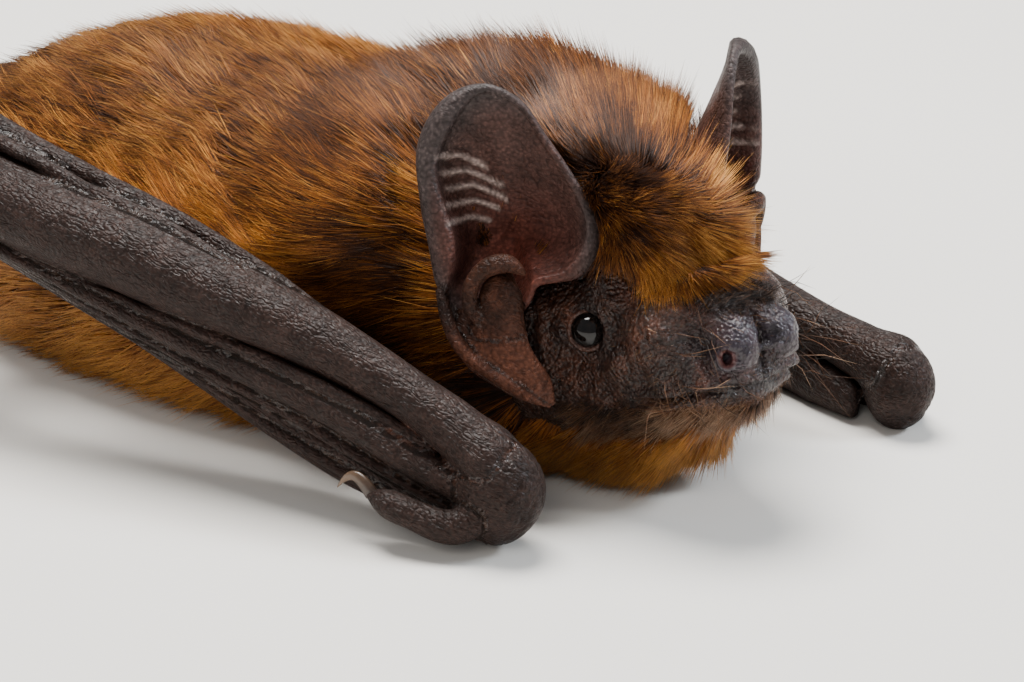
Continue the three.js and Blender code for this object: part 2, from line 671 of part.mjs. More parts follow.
const parts = bodyParts();
const bodyGrown = bodySolid(GAP);
for (const [name, side] of [["right", 1], ["left", -1]]) {
  add(`ear_${name}`, ear(side), "ear");
  const hollow = ear(side, GAP, 4);
  for (const furred of ["head", "muzzle", "neck", "lower_jaw"]) parts[furred] = parts[furred].subtract(hollow);
  add(`tragus_${name}`, tragus(side).subtract(ear(side, GAP)), "ear");
  add(`eye_${name}`, eye(side), "eye");
  parts.head = parts.head.subtract(eye(side, GAP));
  parts.muzzle = parts.muzzle.subtract(eye(side, GAP));
}
const wingRoom = {};
for (const [name, arm] of Object.entries(ARMS)) {
  const pieces = wing(arm);
  wingRoom[name] = wingSpace(arm);
  for (const [piece, made] of Object.entries(pieces)) {
    const finish = piece === "thumb_claw" ? "claw" : "skin";
    add(`${piece}_${name}`, made.subtract(bodyGrown), piece === "upper_arm" ? "coat" : finish);
  }
}
const tailGrown = tail(GAP);
for (const [name, limbs] of Object.entries(LEGS)) {
  const pieces = leg(limbs);
  const room = leg(limbs, GAP);
  let free = tailMembrane(limbs).subtract(tailGrown).subtract(bodyGrown);
  let band = sideMembrane(SIDE_FOLDS[name]).subtract(bodyGrown).subtract(wingRoom[name]);
  for (const [piece, made] of Object.entries(pieces)) {
    const finish = piece.startsWith("claw") ? "claw" : "skin";
    const open = made.subtract(bodyGrown);
    add(`${piece}_${name}`, open, piece === "thigh" ? "coat" : finish);
    free = free.subtract(room[piece]);
    band = band.subtract(room[piece]);
  }
  add(`tail_membrane_${name}`, free, "skin");
  add(`side_membrane_${name}`, keep(band, new THREE.Vector3(0, 0, FLOOR), Z_AXIS), "skin");
}
add("tail", tail().subtract(bodyGrown), "skin");
for (const [name, made] of Object.entries(parts)) {
  add(name, made, name === "muzzle" || name === "lower_jaw" ? "face" : "coat");
}

// The origin is the middle of the footprint, on the floor.
const size = new THREE.Box3().setFromObject(bat);
const middle = size.getCenter(new THREE.Vector3());
bat.position.set(-middle.x, -middle.y, -size.min.z);

export default bat;
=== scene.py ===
"""A life-size common noctule bat at rest on its belly: one skin, a coat of tufts, eyes and claws."""
import math

import bpy
import mathutils
import numpy as np
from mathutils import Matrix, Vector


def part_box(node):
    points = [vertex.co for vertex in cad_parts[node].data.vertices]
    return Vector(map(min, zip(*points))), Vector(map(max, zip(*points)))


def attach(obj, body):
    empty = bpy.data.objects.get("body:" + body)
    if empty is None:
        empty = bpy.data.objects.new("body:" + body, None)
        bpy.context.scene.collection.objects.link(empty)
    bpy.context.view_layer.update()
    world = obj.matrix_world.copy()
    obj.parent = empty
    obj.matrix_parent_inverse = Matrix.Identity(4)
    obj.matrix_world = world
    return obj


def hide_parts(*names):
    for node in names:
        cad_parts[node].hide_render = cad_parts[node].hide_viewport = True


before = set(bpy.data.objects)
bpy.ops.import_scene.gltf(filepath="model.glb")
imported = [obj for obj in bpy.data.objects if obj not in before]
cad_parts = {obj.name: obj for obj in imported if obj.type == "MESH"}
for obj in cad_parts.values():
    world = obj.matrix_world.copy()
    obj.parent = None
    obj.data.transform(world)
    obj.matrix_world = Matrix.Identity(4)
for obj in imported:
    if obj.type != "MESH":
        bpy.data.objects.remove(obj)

bl_info = {
    "name": "Common noctule bat",
    "version": (1, 0, 0),
    "blender": (4, 5, 0),
    "location": "View3D > Sidebar > Bat",
    "description": "Builds the skin, coat, eyes and claws of a life-size common noctule bat",
    "category": "Object",
}

MM = 0.001
HEAD_MIDDLE = np.array([0.0, 0.0, 10.0])  # halfway between the eyes, in mm
HEAD_YAW = math.radians(11)
HEAD_PITCH = math.radians(11)
EYE_AT = (0.2, 5.0, 0.0)  # forward, out and up from the middle of the head, in mm
EAR_AT = (-3.0, 8.8, 2.4)
EAR_FACING = (0.68, 0.70, 0.15)
EAR_LEAN = {1: 0.0, -1: 16.0}
EAR_TURN = {1: 0.0, -1: 18.0}
EAR_YAW = {1: 0.0, -1: 13.0}
SPINE_X = 1.2
BELLY_HEIGHT = 0.3  # the skin of the belly over the floor, with fur pressed flat under it, in mm
SIDES = {1: "right", -1: "left"}
ARMS = {
    1: {
        "wrist": (-12.3, 0.5, 3.3), "elbow": (-17.8, 48, 17), "shoulder": (-3.5, 22, 10), "bow": 1.0,
        "knob": 1.0
    },
    -1: {
        "wrist": (14.2, -6, 2.6), "elbow": (20.2, 43.5, 9), "shoulder": (5.9, 22, 9), "bow": 0.15,
        "knob": 0.84
    },
}
# How far a bowed forearm rises over the line from wrist to elbow: place from the wrist and rise, in mm
BOW_ROWS = [
    (-3, 0), (0, 0.5), (5, 1.6), (10, 2.03), (15, 2.0), (20, 1.53), (25, 1.15), (30, 0.5), (36, 0), (60, 0)
]
FOLDED_DEPTH = 4.2  # from the middle of the forearm down to the lowest fold of the hand, in mm
LEGS = {
    1: {
        "hip": (-4.5, 50, 6.5), "knee": (-15, 58.5, 6.8), "ankle": (-11.5, 75, 2.6),
        "toes": (-14.5, 82.5, 0.9)
    },
    -1: {"hip": (6.9, 50, 6.5), "knee": (16.8, 57, 5.2), "ankle": (14.5, 74, 2.6), "toes": (18, 81, 0.9)},
}
SIDE_FOLDS = {
    1: [(-15.7, 52.0, 11.6), (-17.3, 56.5, 8.4), (-18.0, 61, 5.6), (-16.6, 68, 3.3), (-14.6, 74, 2.2)],
    -1: [(18.9, 47.5, 5.6), (19.6, 52, 4.9), (19.6, 58, 4.0), (18.6, 66, 2.9), (17.2, 72.5, 2.1)],
}
EYE_FACING = (0.62, 0.76, 0.14)
TAIL = [(1.2, 57, 3.4), (1.4, 66, 1.9), (1.2, 78, 1.3), (-0.5, 90, 1.1), (-3.5, 101, 0.8)]

FORWARD = np.array([
    -math.sin(HEAD_YAW) * math.cos(HEAD_PITCH),
    -math.cos(HEAD_YAW) * math.cos(HEAD_PITCH),
    math.sin(HEAD_PITCH),
])
RIGHT = np.array([-math.cos(HEAD_YAW), math.sin(HEAD_YAW), 0.0])
UP = np.cross(RIGHT, FORWARD)


# Points and directions


def head_point(forward, out, up):
    """The point that lies that far forward, right and up from the middle of the head, in mm."""
    parts = [
        np.multiply.outer(np.asarray(v, float), axis)
        for v, axis in ((forward, FORWARD), (out, RIGHT), (up, UP))
    ]
    return HEAD_MIDDLE + parts[0] + parts[1] + parts[2]


def in_head(points):
    """Forward, right and up of points from the middle of the head."""
    away = points - HEAD_MIDDLE
    return away @ FORWARD, away @ RIGHT, away @ UP


def row_shift():
    """What turns a point in mm to the row frame's millimetres, from where the CAD's right eye lies."""
    low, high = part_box("eye_right")
    middle = (np.array(low) + np.array(high)) / 2 / MM
    return middle - head_point(*EYE_AT)


SHIFT = row_shift()


def unit(vectors):
    """Each vector over its own length."""
    return vectors / (np.linalg.norm(vectors, axis=-1, keepdims=True) + 1e-12)


def smooth(value, low, high):
    """0 below low and 1 above high, with a soft step between them."""
    t = np.clip((value - low) / (high - low), 0, 1)
    return t * t * (3 - 2 * t)


def along_table(rows, places):
    """Smooth values between the rows of a table by its first column, as a cubic through neighbouring rows."""
    rows = np.asarray(rows, float)
    keys, values = rows[:, 0], rows[:, 1:]
    slopes = np.gradient(values, keys, axis=0)
    i = np.clip(np.searchsorted(keys, places, side="right") - 1, 0, len(keys) - 2)
    gap = (keys[i + 1] - keys[i])[..., None]
    t = ((places - keys[i]) / (keys[i + 1] - keys[i]))[..., None]
    a, b = values[i], values[i + 1]
    start, end = slopes[i] * gap, slopes[i + 1] * gap
    return (
        (2 * t**3 - 3 * t**2 + 1) * a + (t**3 - 2 * t**2 + t) * start + (3 * t**2 - 2 * t**3) * b
        + (t**3 - t**2) * end
    )


def along_path(points, places):
    """Points at places 0 to 1 along a smooth path through the given points, and its unit direction there."""
    points = np.asarray(points, float)
    steps = np.r_[0, np.cumsum(np.linalg.norm(np.diff(points, axis=0), axis=1))]
    table = np.c_[steps / steps[-1], points]
    at = along_table(table, np.asarray(places, float))
    ahead = (
        along_table(table, np.clip(places + 1e-3, 0, 1)) - along_table(table, np.clip(places - 1e-3, 0, 1))
    )
    return at, unit(ahead)


def noise(points, size, seed=0):
    """Smooth noise from -1 to 1: random values on a lattice of that spacing, blended between its corners."""
    p = np.asarray(points, float) / size + 91.7 * (seed + 1)
    low = np.floor(p).astype(np.int64)
    t = p - low
    t = t * t * (3 - 2 * t)
    total = np.zeros(p.shape[:-1])
    for corner in np.ndindex(2, 2, 2):
        c = low + corner
        h = (c[..., 0] * 73856093) ^ (c[..., 1] * 19349663) ^ (c[..., 2] * 83492791) ^ (seed * 2654435761)
        h = (h ^ (h >> 13)) * 1274126177 & 0x7FFFFFFF
        h = (h ^ (h >> 16)) & 0xFFFF
        share = np.prod(np.where(np.array(corner) == 1, t, 1 - t), axis=-1)
        total += share * (h / 32767.5 - 1)
    return total


def near_line(points, line):
    """Distance of each point from a line through several points, and the nearest place on it from 0 to 1."""
    line = np.asarray(line, float)
    best = np.full(len(points), 1e9)
    place = np.zeros(len(points))
    for i in range(len(line) - 1):
        a, b = line[i], line[i + 1]
        t = np.clip((points - a) @ (b - a) / ((b - a) @ (b - a)), 0, 1)
        d = np.linalg.norm(points - a - t[:, None] * (b - a), axis=1)
        closer = d < best
        best = np.where(closer, d, best)
        place = np.where(closer, (i + t) / (len(line) - 1), place)
    return best, place


# Closed surfaces from rings of points


def closed_faces(rings, around):
    """Quads between neighbouring rings and a fan on the middle point at each end."""
    i = np.arange(rings - 1)[:, None] * around
    j = np.arange(around)[None, :]
    k = (j + 1) % around
    quads = np.stack([i + j, i + around + j, i + around + k, i + k], -1).reshape(-1, 4)
    j, k = j[0], k[0]
    end = (rings - 1) * around
    first = np.stack([np.full(around, rings * around), j, k], -1)
    last = np.stack([np.full(around, rings * around + 1), end + k, end + j], -1)
    return quads, first, last


def facing_out(points, triangles):
    """(points, triangles) of a closed surface turned so that it faces out: its signed volume is above
    zero."""
    a, b, c = (points[triangles[:, i]] for i in range(3))
    return points, triangles if np.einsum("ij,ij->i", a, np.cross(b, c)).sum() > 0 else triangles[:, ::-1]


def closed_surface(rings):
    """(points, triangles) of a closed surface through rings of points, with the middle of each end ring as
    its pole."""
    rings = np.asarray(rings, float)
    points = np.concatenate([rings.reshape(-1, 3), rings[0].mean(0)[None], rings[-1].mean(0)[None]])
    quads, first, last = closed_faces(*rings.shape[:2])
    return facing_out(points, np.concatenate([quads[:, [0, 1, 2]], quads[:, [0, 2, 3]], first, last]))


def limb_rings(points, radii, steps, around, floor=0.0):
    """Rings round a smooth path. radii gives rows of place from 0 to 1, half width and half height."""
    places = (1 - np.cos(np.linspace(0, np.pi, steps))) / 2
    middle, along = along_path(points, places)
    across = unit(np.cross(along, [0.0, 0.0, 1.0]))
    upward = np.cross(across, along)
    size = along_table(radii, places)
    angle = np.linspace(0, 2 * np.pi, around, endpoint=False)
    side = np.cos(angle)[None, :, None] * size[:, :1, None] * across[:, None]
    height = np.sin(angle)[None, :, None] * size[:, 1:2, None] * upward[:, None]
    rings = middle[:, None] + side + height
    rings[..., 2] = np.maximum(rings[..., 2], floor)
    return rings


# Head and trunk


def head_row(forward, half_width, top, bottom, square=0.9):
    """A cross-section of the head's skin: place forward, half width, and its top and bottom from the eyes'
    level."""
    level = (top + bottom) / 2
    return [
        *head_point(forward, 0, level), math.degrees(HEAD_YAW), math.degrees(HEAD_PITCH), half_width,
        top - level, level - bottom, square
    ]


def trunk_row(y, half_width, top, level, bottom, square=0.9):
    """A cross-section of the trunk's skin: its Y, half width, top, the height where it is widest, and
    bottom."""
    return [SPINE_X, y, level, 0, 0, half_width, top - level, level - bottom, square]


BODY_ROWS = [
    head_row(8.62, 0.5, -0.8, -1.6),
    head_row(8.5, 1.0, -0.35, -2.2),
    head_row(8.1, 1.85, 0.3, -3.0),
    head_row(7.3, 2.7, 1.2, -4.0),
    head_row(5.6, 3.9, 2.3, -5.2),
    head_row(3.4, 4.6, 3.3, -6.2),
    head_row(1.2, 5.1, 5.6, -7.2),
    head_row(-1, 5.8, 7.6, -8.0),
    head_row(-4, 6.9, 9.5, -8.5),
    head_row(-8, 8.2, 10.7, -8.6),
    trunk_row(14, 9.8, 18.6, 9, -1.5),
    trunk_row(20, 11.2, 17.2, 8, -3.0),
    trunk_row(28, 12.0, 16.9, 7.2, -3.6),
    trunk_row(36, 11.5, 16.6, 6.8, -3.6),
    trunk_row(44, 9.7, 14.2, 6.2, -2.8),
    trunk_row(50, 7.3, 10.7, 5.6, -1.4),
    trunk_row(55, 4.4, 7.4, 4.8, 0.2),
    trunk_row(58.2, 2.0, 5.4, 4.0, 2.2),
    trunk_row(59.2, 0.8, 4.6, 3.9, 3.1),
]
MOUTH = [
    (8.2, 0.0, -3.3), (8.0, 1.1, -3.25), (7.7, 2.2, -3.15), (6.6, 3.1, -3.3), (5.0, 3.8, -3.6),
    (2.9, 4.4, -3.95), (1.6, 4.8, -4.1)
]

# Swellings and hollows of the head: forward, out, up, radius and how far the skin moves out, in mm
HEAD_FORMS = [
    (4.2, 4.3, 0.0, 1.9, 0.75),  # gland on the side of the snout
    (4.4, 2.9, 1.9, 1.1, 0.3),
    (6.35, 3.1, -0.5, 0.85, -0.5),  # valley between gland and nostril
    (5.9, 1.4, 2.1, 0.9, -0.2),
    (7.5, 1.3, 0.3, 0.8, 0.22),
    (8.5, 0.0, -0.8, 0.6, -0.4),  # dip between the nostrils
    (7.7, 0.0, 0.9, 0.7, -0.2),
    (7.3, 3.0, -2.5, 0.8, 0.3),  # upper lip
    (5.2, 4.0, -2.9, 0.9, 0.22),
    (6.6, 3.2, -4.3, 0.9, 0.25),  # lower lip
    (7.5, 0.0, -4.2, 1.1, 0.4),  # chin
    (0.3, 5.4, 0.0, 1.15, -0.5),  # eye socket
    (-0.95, 5.85, 0.0, 0.6, 0.5),
    (1.84, 4.85, 1.5, 0.6, 0.4),  # brow
    (-0.7, 5.6, 2.05, 0.55, 0.35),
    (0.5, 5.2, 2.3, 0.5, 0.15),
    (2.5, 5.0, 0.3, 0.7, -0.45),
    (2.1, 5.1, -2.0, 0.9, 0.35),  # cheek
    (0.6, 5.4, -4.6, 0.9, 0.3),
    (-1.1, 6.0, -1.6, 0.8, -0.2),
    (3.6, 4.7, -2.6, 0.8, -0.22),
]
NOSTRIL = (7.9, 2.2, -1.35)
NOSTRIL_WAY = (0.72, 0.69, 0.05)
NOSTRIL_BULB = (8.15, 1.55, -0.95)
NOSTRIL_CREASE = [(7.0, 2.85, -0.7), (6.95, 3.0, -1.5), (7.15, 2.85, -2.2)]
FOLD_BEFORE_EAR = [(-1.9, 6.2, 3.0), (-2.3, 6.4, 2.0), (-2.6, 6.5, 0.0), (-2.9, 6.4, -2.0), (-3.0, 6.2, -3.3)]
BROW_FOLD = [(0.8, 5.0, 3.4), (2.6, 4.4, 2.8), (4.4, 3.2, 2.6), (6.0, 2.2, 2.3)]


def body_rings(rows=168, around=168):
    """Rings of the head and trunk. Each is a rounded superellipse, and they are closest at the snout."""
    table = np.array(BODY_ROWS)
    place = np.r_[0, np.cumsum(np.linalg.norm(np.diff(table[:, :3], axis=0), axis=1))]
    t = np.linspace(0, 1, rows)
    at = along_table(np.c_[place, table], place[-1] * (0.4 * t + 0.6 * t**2.6))
    turn, tilt = np.radians(at[:, 3]), np.radians(at[:, 4])
    across = np.stack([-np.cos(turn), np.sin(turn), 0 * turn], -1)
    upward = np.stack([np.sin(turn) * np.sin(tilt), np.cos(turn) * np.sin(tilt), np.cos(tilt)], -1)
    angle = np.linspace(0, 2 * np.pi, around, endpoint=False)
    c, s = np.cos(angle)[None], np.sin(angle)[None]
    square = at[:, 8:9]
    side = np.sign(c) * np.abs(c) ** square * at[:, 5:6]
    height = np.sign(s) * np.abs(s) ** square * np.where(s > 0, at[:, 6:7], at[:, 7:8])
    return at[:, None, :3] + side[..., None] * across[:, None] + height[..., None] * upward[:, None]


def ring_normals(rings):
    """Outward unit normals of rings of points."""
    along = np.gradient(rings, axis=0)
    around = np.roll(rings, -1, 1) - np.roll(rings, 1, 1)
    n = unit(np.cross(around, along))
    middle = rings.mean(1, keepdims=True)
    return n * np.sign(np.sum(n * (rings - middle), -1, keepdims=True) + 1e-9)


def round_eye(place):
    """Lids on the skin: a low ridge round the eye with a hollow outside it."""
    away = np.linalg.norm(place - EYE_AT, axis=-1)
    return 0.16 * np.exp(-(((away - 1.35) / 0.22) ** 2)) - 0.1 * np.exp(-(((away - 1.85) / 0.2) ** 2))


def sculpt_head(rings):
    """Moves the head's skin along its normals: round swellings and hollows on both sides, the mouth's crease,
    the nostrils and fine folds."""
    shape = rings.shape
    points = rings.reshape(-1, 3)
    place = head_place(points)
    forward, out, up = place.T
    core = head_point(np.minimum(in_head(points)[0], 4.5), 0, -1.4)
    muzzle = smooth(forward, 2.5, 5.5)[:, None]
    normals = unit(ring_normals(rings).reshape(-1, 3) * (1 - muzzle) + unit(points - core) * muzzle)
    move = round_eye(place)
    for f, r, u, radius, amount in HEAD_FORMS:
        move += amount * np.exp(-np.sum((place - (f, r, u)) ** 2, 1) / radius**2)
    away, t = near_line(place, MOUTH)
    depth = 0.8 * smooth(1 - t, 0, 0.3) * (0.35 + 0.65 * smooth(t, 0.0, 0.4))
    move += depth * (0.3 * np.exp(-((away - 0.5) ** 2) / 0.08) - 0.95 * np.exp(-(away**2) / 0.05))
    away, _ = near_line(place, NOSTRIL_CREASE)
    move -= 0.5 * np.exp(-(away**2) / 0.04)
    away = np.linalg.norm(place - NOSTRIL_BULB, axis=1)
    move += (
        0.68 * np.exp(-((away / 1.2) ** 3))
        - 0.28 * np.exp(-(((away - 1.5) / 0.32) ** 2)) * smooth(-up, 0.0, 1.0) * smooth(forward, 5.5, 6.5)
    )
    from_hole = place - NOSTRIL
    beside = np.linalg.norm(np.cross(from_hole, unit(np.array(NOSTRIL_WAY))), axis=1)
    here = smooth(-np.linalg.norm(from_hole, axis=1), -1.7, -1.3)
    move -= here * 0.9 * np.exp(-((beside / 0.36) ** 4))
    front = smooth(forward, 7.2, 8.2) * smooth(up, -2.9, -2.5)
    move -= 0.5 * front * np.exp(-((out / 0.3) ** 2))
    away, _ = near_line(place, FOLD_BEFORE_EAR)
    move += 0.25 * np.exp(-((away - 0.4) ** 2) / 0.08) - 0.4 * np.exp(-(away**2) / 0.04)
    away, _ = near_line(place, BROW_FOLD)
    move -= 0.25 * np.exp(-(away**2) / 0.16)
    bare = smooth(forward, -2, 0)
    folds = np.exp(-((noise(points * (0.7, 1, 1), 1.0, 5) / 0.14) ** 2))
    move += bare * (
        noise(points, 1.1, 3) * 0.11 + noise(points, 0.55, 1) * 0.07
        - 0.1 * folds * smooth(-forward, -7.2, -6.0)
    )
    moved = points + normals * move[:, None]
    for side in SIDES:
        moved = press_under_ear(moved, side)
    moved[:, 2] = np.maximum(moved[:, 2], BELLY_HEIGHT)
    return moved.reshape(shape)


def ring_round(centre, axis, radius, thick, steps=40, around=12, squash=1.0):
    """Closed ring of round section round an axis, as a torus. squash flattens it across the head's up
    direction."""
    a = np.linspace(0, 2 * np.pi, steps, endpoint=False)
    first = unit(UP - axis * (UP @ axis))
    second = np.cross(axis, first)
    spoke = np.cos(a)[:, None] * first * squash + np.sin(a)[:, None] * second
    b = np.linspace(0, 2 * np.pi, around, endpoint=False)
    rim = np.cos(b)[None, :, None] * unit(spoke)[:, None] + np.sin(b)[None, :, None] * axis
    points = centre + radius * spoke[:, None] + thick * rim
    i, j = np.arange(steps)[:, None], np.arange(around)[None, :]
    k, l = (i + 1) % steps, (j + 1) % around
    quads = np.stack([i * around + j, k * around + j, k * around + l, i * around + l], -1).reshape(-1, 4)
    return facing_out(points.reshape(-1, 3), np.concatenate([quads[:, [0, 1, 2]], quads[:, [0, 2, 3]]]))


def eye_axis(side):
    """Unit direction in which an eye faces."""
    f, r, u = EYE_FACING
    return unit(f * FORWARD + side * r * RIGHT + u * UP)


def eyelids(side):
    """The lids' edge as a thin ring of skin round the eye."""
    f, r, u = EYE_AT
    eye = head_point(f, side * r, u)
    axis = eye_axis(side)
    return ring_round(eye + axis * 0.28, axis, 1.02, 0.16)


def nostril(side):
    """The rolled rim of a nostril, a little taller than wide."""
    f, r, u = NOSTRIL
    a, b, c = NOSTRIL_WAY
    axis = unit(a * FORWARD + side * b * RIGHT + c * UP)
    return ring_round(head_point(f, side * r, u) + axis * 0.12, axis, 0.44, 0.21, 40, 14, 1.2)


# Ears

EAR_OUTLINE = [
    (2.2, -0.4), (2.6, 0.25), (3.4, 0.35), (4.6, 0.45), (5.5, 0.95), (6.05, 1.8), (6.15, 2.7), (5.95, 3.7),
    (5.1, 5.7), (3.75, 8.2), (2.6, 10.1),
    (0.9, 11.1), (-0.7, 10.95), (-2.1, 10.0), (-3.1, 8.4), (-3.3, 5.3), (-3.1, 3.1), (-2.6, -0.3),
    (-1.6, -1.9), (0.6, -2.0),
]
EAR_RIDGES = [
    [(-1.9, 7.5), (-1.0, 7.45), (0.1, 6.7)],
    [(-1.9, 6.6), (-0.8, 6.6), (0.9, 5.6)],
    [(-1.8, 5.75), (-0.6, 5.8), (1.0, 4.9)],
    [(-1.75, 4.9), (-0.6, 4.95), (0.5, 4.4)],
    [(-1.7, 4.0), (-0.9, 4.1), (-0.1, 3.8)],
]
LOW_RIDGE = [(-1.75, 2.8), (-0.1, 1.9)]
EAR_WALL = 0.34  # thickness of the ear's skin, in mm


def turned(first, second, angle):
    """Two directions turned by an angle in the plane of both: the first toward the second, the second
    away."""
    c, s = math.cos(angle), math.sin(angle)
    return first * c + second * s, second * c - first * s


def ear_frame(side):
    """The ear's base point and unit directions toward its front edge, up along it and out of its opening."""
    f, r, u = EAR_FACING
    facing = unit(f * FORWARD + side * r * RIGHT + u * UP)
    to_front = unit(r * FORWARD - side * f * RIGHT)
    up_ear = unit(np.cross(to_front, facing))
    up_ear = up_ear if up_ear[2] > 0 else -up_ear
    turn, lean = math.radians(EAR_TURN[side]), math.radians(EAR_LEAN[side])
    up_ear, to_front = turned(up_ear, to_front, turn)
    up_ear, facing = turned(up_ear, facing, lean)
    yaw = math.radians(EAR_YAW[side])
    facing, to_front = turned(facing, to_front, yaw)
    f, r, u = EAR_AT
    return head_point(f, side * r, u), to_front, up_ear, facing


EAR_DEPTH = [
    (-4.5, 0.5), (-2.5, 1.3), (-0.5, 2.5), (1.2, 3.1), (2.8, 3.3), (5.4, 2.5), (8.2, 1.7), (10.0, 1.0),
    (11.2, 0.6)
]


def ear_depth(b, a):
    """How deep the ear's bowl is at its middle, by height, with the ear canal deeper."""
    heights, depths = np.array(EAR_DEPTH).T
    return np.interp(a, heights, depths) + 0.5 * np.exp(-((b - 1.1) ** 2 + (a - 2.4) ** 2) / 0.9)


def press_under_ear(points, side):
    """Points of the head with those under an ear's bowl moved in behind it."""
    facing = ear_frame(side)[3]
    b, a, n = in_ear(points, side)
    across = ((b - 1.5) / 5.0) ** 2 + ((a - 4.2) / 6.6) ** 2
    bowl = ear_depth(b, a) * np.clip(1 - across**0.9, 0, 1) + 0.75
    excess = np.maximum(0, n + bowl) * smooth(1.1 - across, 0, 0.35) * (n < 3)
    return points - excess[:, None] * facing


def ear_rings(side, around=120):
    """A bowl of skin inside the ear's outline: from its middle the inner face runs out to a rolled rim and
    back along the outer face. The ribs are round ridges along short lines."""
    at, to_front, up_ear, facing = ear_frame(side)
    loop = np.array(EAR_OUTLINE + EAR_OUTLINE[:1])
    loop = np.r_[loop[-2:-1], loop, loop[1:2]]
    step = np.r_[0, np.cumsum(np.linalg.norm(np.diff(loop, axis=0), axis=1))]
    t = step[1] + (step[-2] - step[1]) * np.arange(around) / around
    edge = along_table(np.c_[step, loop], t)
    centre = np.array([1.0, 3.6])
    spoke = centre - edge
    reach = np.linalg.norm(spoke, axis=1)
    spoke = spoke / reach[:, None]
    back = smooth(-edge[:, 0], -1.2, 2.4) * smooth(edge[:, 1], -0.6, 1.0)
    low_front = np.exp(-(((edge[:, 0] - 5.4) / 1.7) ** 2 + ((edge[:, 1] - 1.5) / 1.9) ** 2))
    rim = 0.24 + 0.6 * back + 0.34 * low_front
    rings = []
    for s in np.linspace(0.02, 1, 26):  # inner face, from the middle out to the rim
        d = reach - (reach - 1.8 * rim) * s
        p = edge + spoke * d[:, None]
        hollow = -ear_depth(p[:, 0], p[:, 1]) * (1 - s ** (2.2 + 2.4 * back))
        for line in EAR_RIDGES:
            away, place = near_line(p, line)
            hollow += 0.45 * np.exp(-((away / 0.19) ** 2)) * smooth(1 - place, 0, 0.5)
        away, _ = near_line(p, LOW_RIDGE)
        hollow += 0.3 * np.exp(-((away / 0.2) ** 2))
        rings.append((d, hollow - 0.25 * rim * s))
    for angle in np.radians([150, 120, 90, 60, 30, 0, -30, -60]):  # rolled rim
        rings.append((rim * (1 - np.cos(angle)), rim * np.sin(angle)))
    for s in np.linspace(0.12, 0.985, 14):  # outer face, back to the middle
        d = rim + (reach - rim) * s
        p = edge + spoke * d[:, None]
        hollow = -ear_depth(p[:, 0], p[:, 1]) * (1 - (1 - s) ** 2.2)
        rings.append((d, hollow - EAR_WALL - 0.5 * rim * (1 - s)))
    points = []
    for d, n in rings:
        p = edge + spoke * np.reshape(d, (-1, 1))
        curl = -0.035 * (p[:, 0] - 1.2) ** 2 - 0.012 * (p[:, 1] - 4) ** 2 + 0.25
        points.append(at + p[:, :1] * to_front + p[:, 1:] * up_ear + (n + curl)[:, None] * facing)
    return np.array(points)


def ear_strip(side, line, sizes, steps=30, around=20):
    """A smooth strip of skin on the ear's plane. line gives rows of front, up and out; sizes rows of place
    from 0 to 1, half width along the plane and half thickness."""
    at, to_front, up_ear, facing = ear_frame(side)
    line = np.array(line, float)
    points = at + line[:, :1] * to_front + line[:, 1:2] * up_ear + line[:, 2:] * facing
    places = (1 - np.cos(np.linspace(0, np.pi, steps))) / 2
    middle, along = along_path(points, places)
    thick = unit(facing - along * (along @ facing)[:, None])
    wide = np.cross(along, thick)
    size = along_table(sizes, places)
    angle = np.linspace(0, 2 * np.pi, around, endpoint=False)
    c, s = np.cos(angle)[None, :, None], np.sin(angle)[None, :, None]
    return closed_surface(
        middle[:, None] + c * size[:, :1, None] * wide[:, None] + s * size[:, 1:2, None] * thick[:, None]
    )


def tragus(side):
    """The tragus: a curled rim like a hook round a low pad."""
    hook = [
        (-0.2, -1.9, -0.1), (-0.95, -0.7, 0.5), (-0.85, 0.6, 0.75), (0.05, 1.5, 0.85), (1.2, 1.65, 0.8),
        (2.05, 1.0, 0.45)
    ]
    pad = [(1.1, 1.3, 0.0), (0.75, 0.5, 0.3), (0.5, -0.9, 0.3), (0.2, -2.4, 0.0), (0.3, -3.4, -0.3)]
    return [
        ear_strip(
            side, hook,
            [[0, 0.1, 0.1], [0.12, 0.32, 0.32], [0.5, 0.44, 0.44], [0.9, 0.38, 0.4], [1, 0.1, 0.1]], 40, 16
        ),
        ear_strip(
            side, pad, [[0, 0.2, 0.15], [0.2, 1.0, 0.5], [0.5, 1.3, 0.55], [0.8, 1.6, 0.45], [1, 1.2, 0.2]],
            34, 28
        ),
    ]


def cheek_lobe(side):
    """The lobe of skin that runs from the ear's lower end down to the corner of the mouth: a broad flap with
    a rolled edge."""
    flap = [(-0.5, -0.4, -0.45), (-0.2, -2.2, 0.0), (0.9, -3.9, 0.2), (2.1, -5.2, 0.1), (2.75, -6.0, -0.2)]
    edge = [
        (-2.6, 0.6, 0.0), (-2.35, -1.0, 0.25), (-1.75, -2.6, 0.4), (-0.3, -4.1, 0.5), (1.2, -5.2, 0.4),
        (2.6, -6.1, -0.1)
    ]
    return [
        ear_strip(
            side, flap,
            [[0, 1.5, 0.3], [0.25, 1.95, 0.42], [0.6, 1.35, 0.4], [0.88, 0.75, 0.34], [1, 0.15, 0.12]], 40, 36
        ),
        ear_strip(
            side, edge, [[0, 0.3, 0.3], [0.2, 0.38, 0.38], [0.6, 0.36, 0.36], [0.9, 0.3, 0.3], [1, 0.1, 0.1]],
            44, 14
        ),
    ]


# Wings


def arm_frame(side):
    """Wrist, length and unit directions along the folded arm to the elbow, outward from the body and down
    across it."""
    arm = ARMS[side]
    wrist, elbow = np.array(arm["wrist"], float), np.array(arm["elbow"], float)
    along = unit(elbow - wrist)
    outward = unit(np.cross(along, [0.0, 0.0, 1.0]))
    outward = outward if outward[0] * side < 0 else -outward
    down = np.cross(along, outward)
    down = down if down[2] < 0 else -down
    return wrist, np.linalg.norm(elbow - wrist), along, outward, down


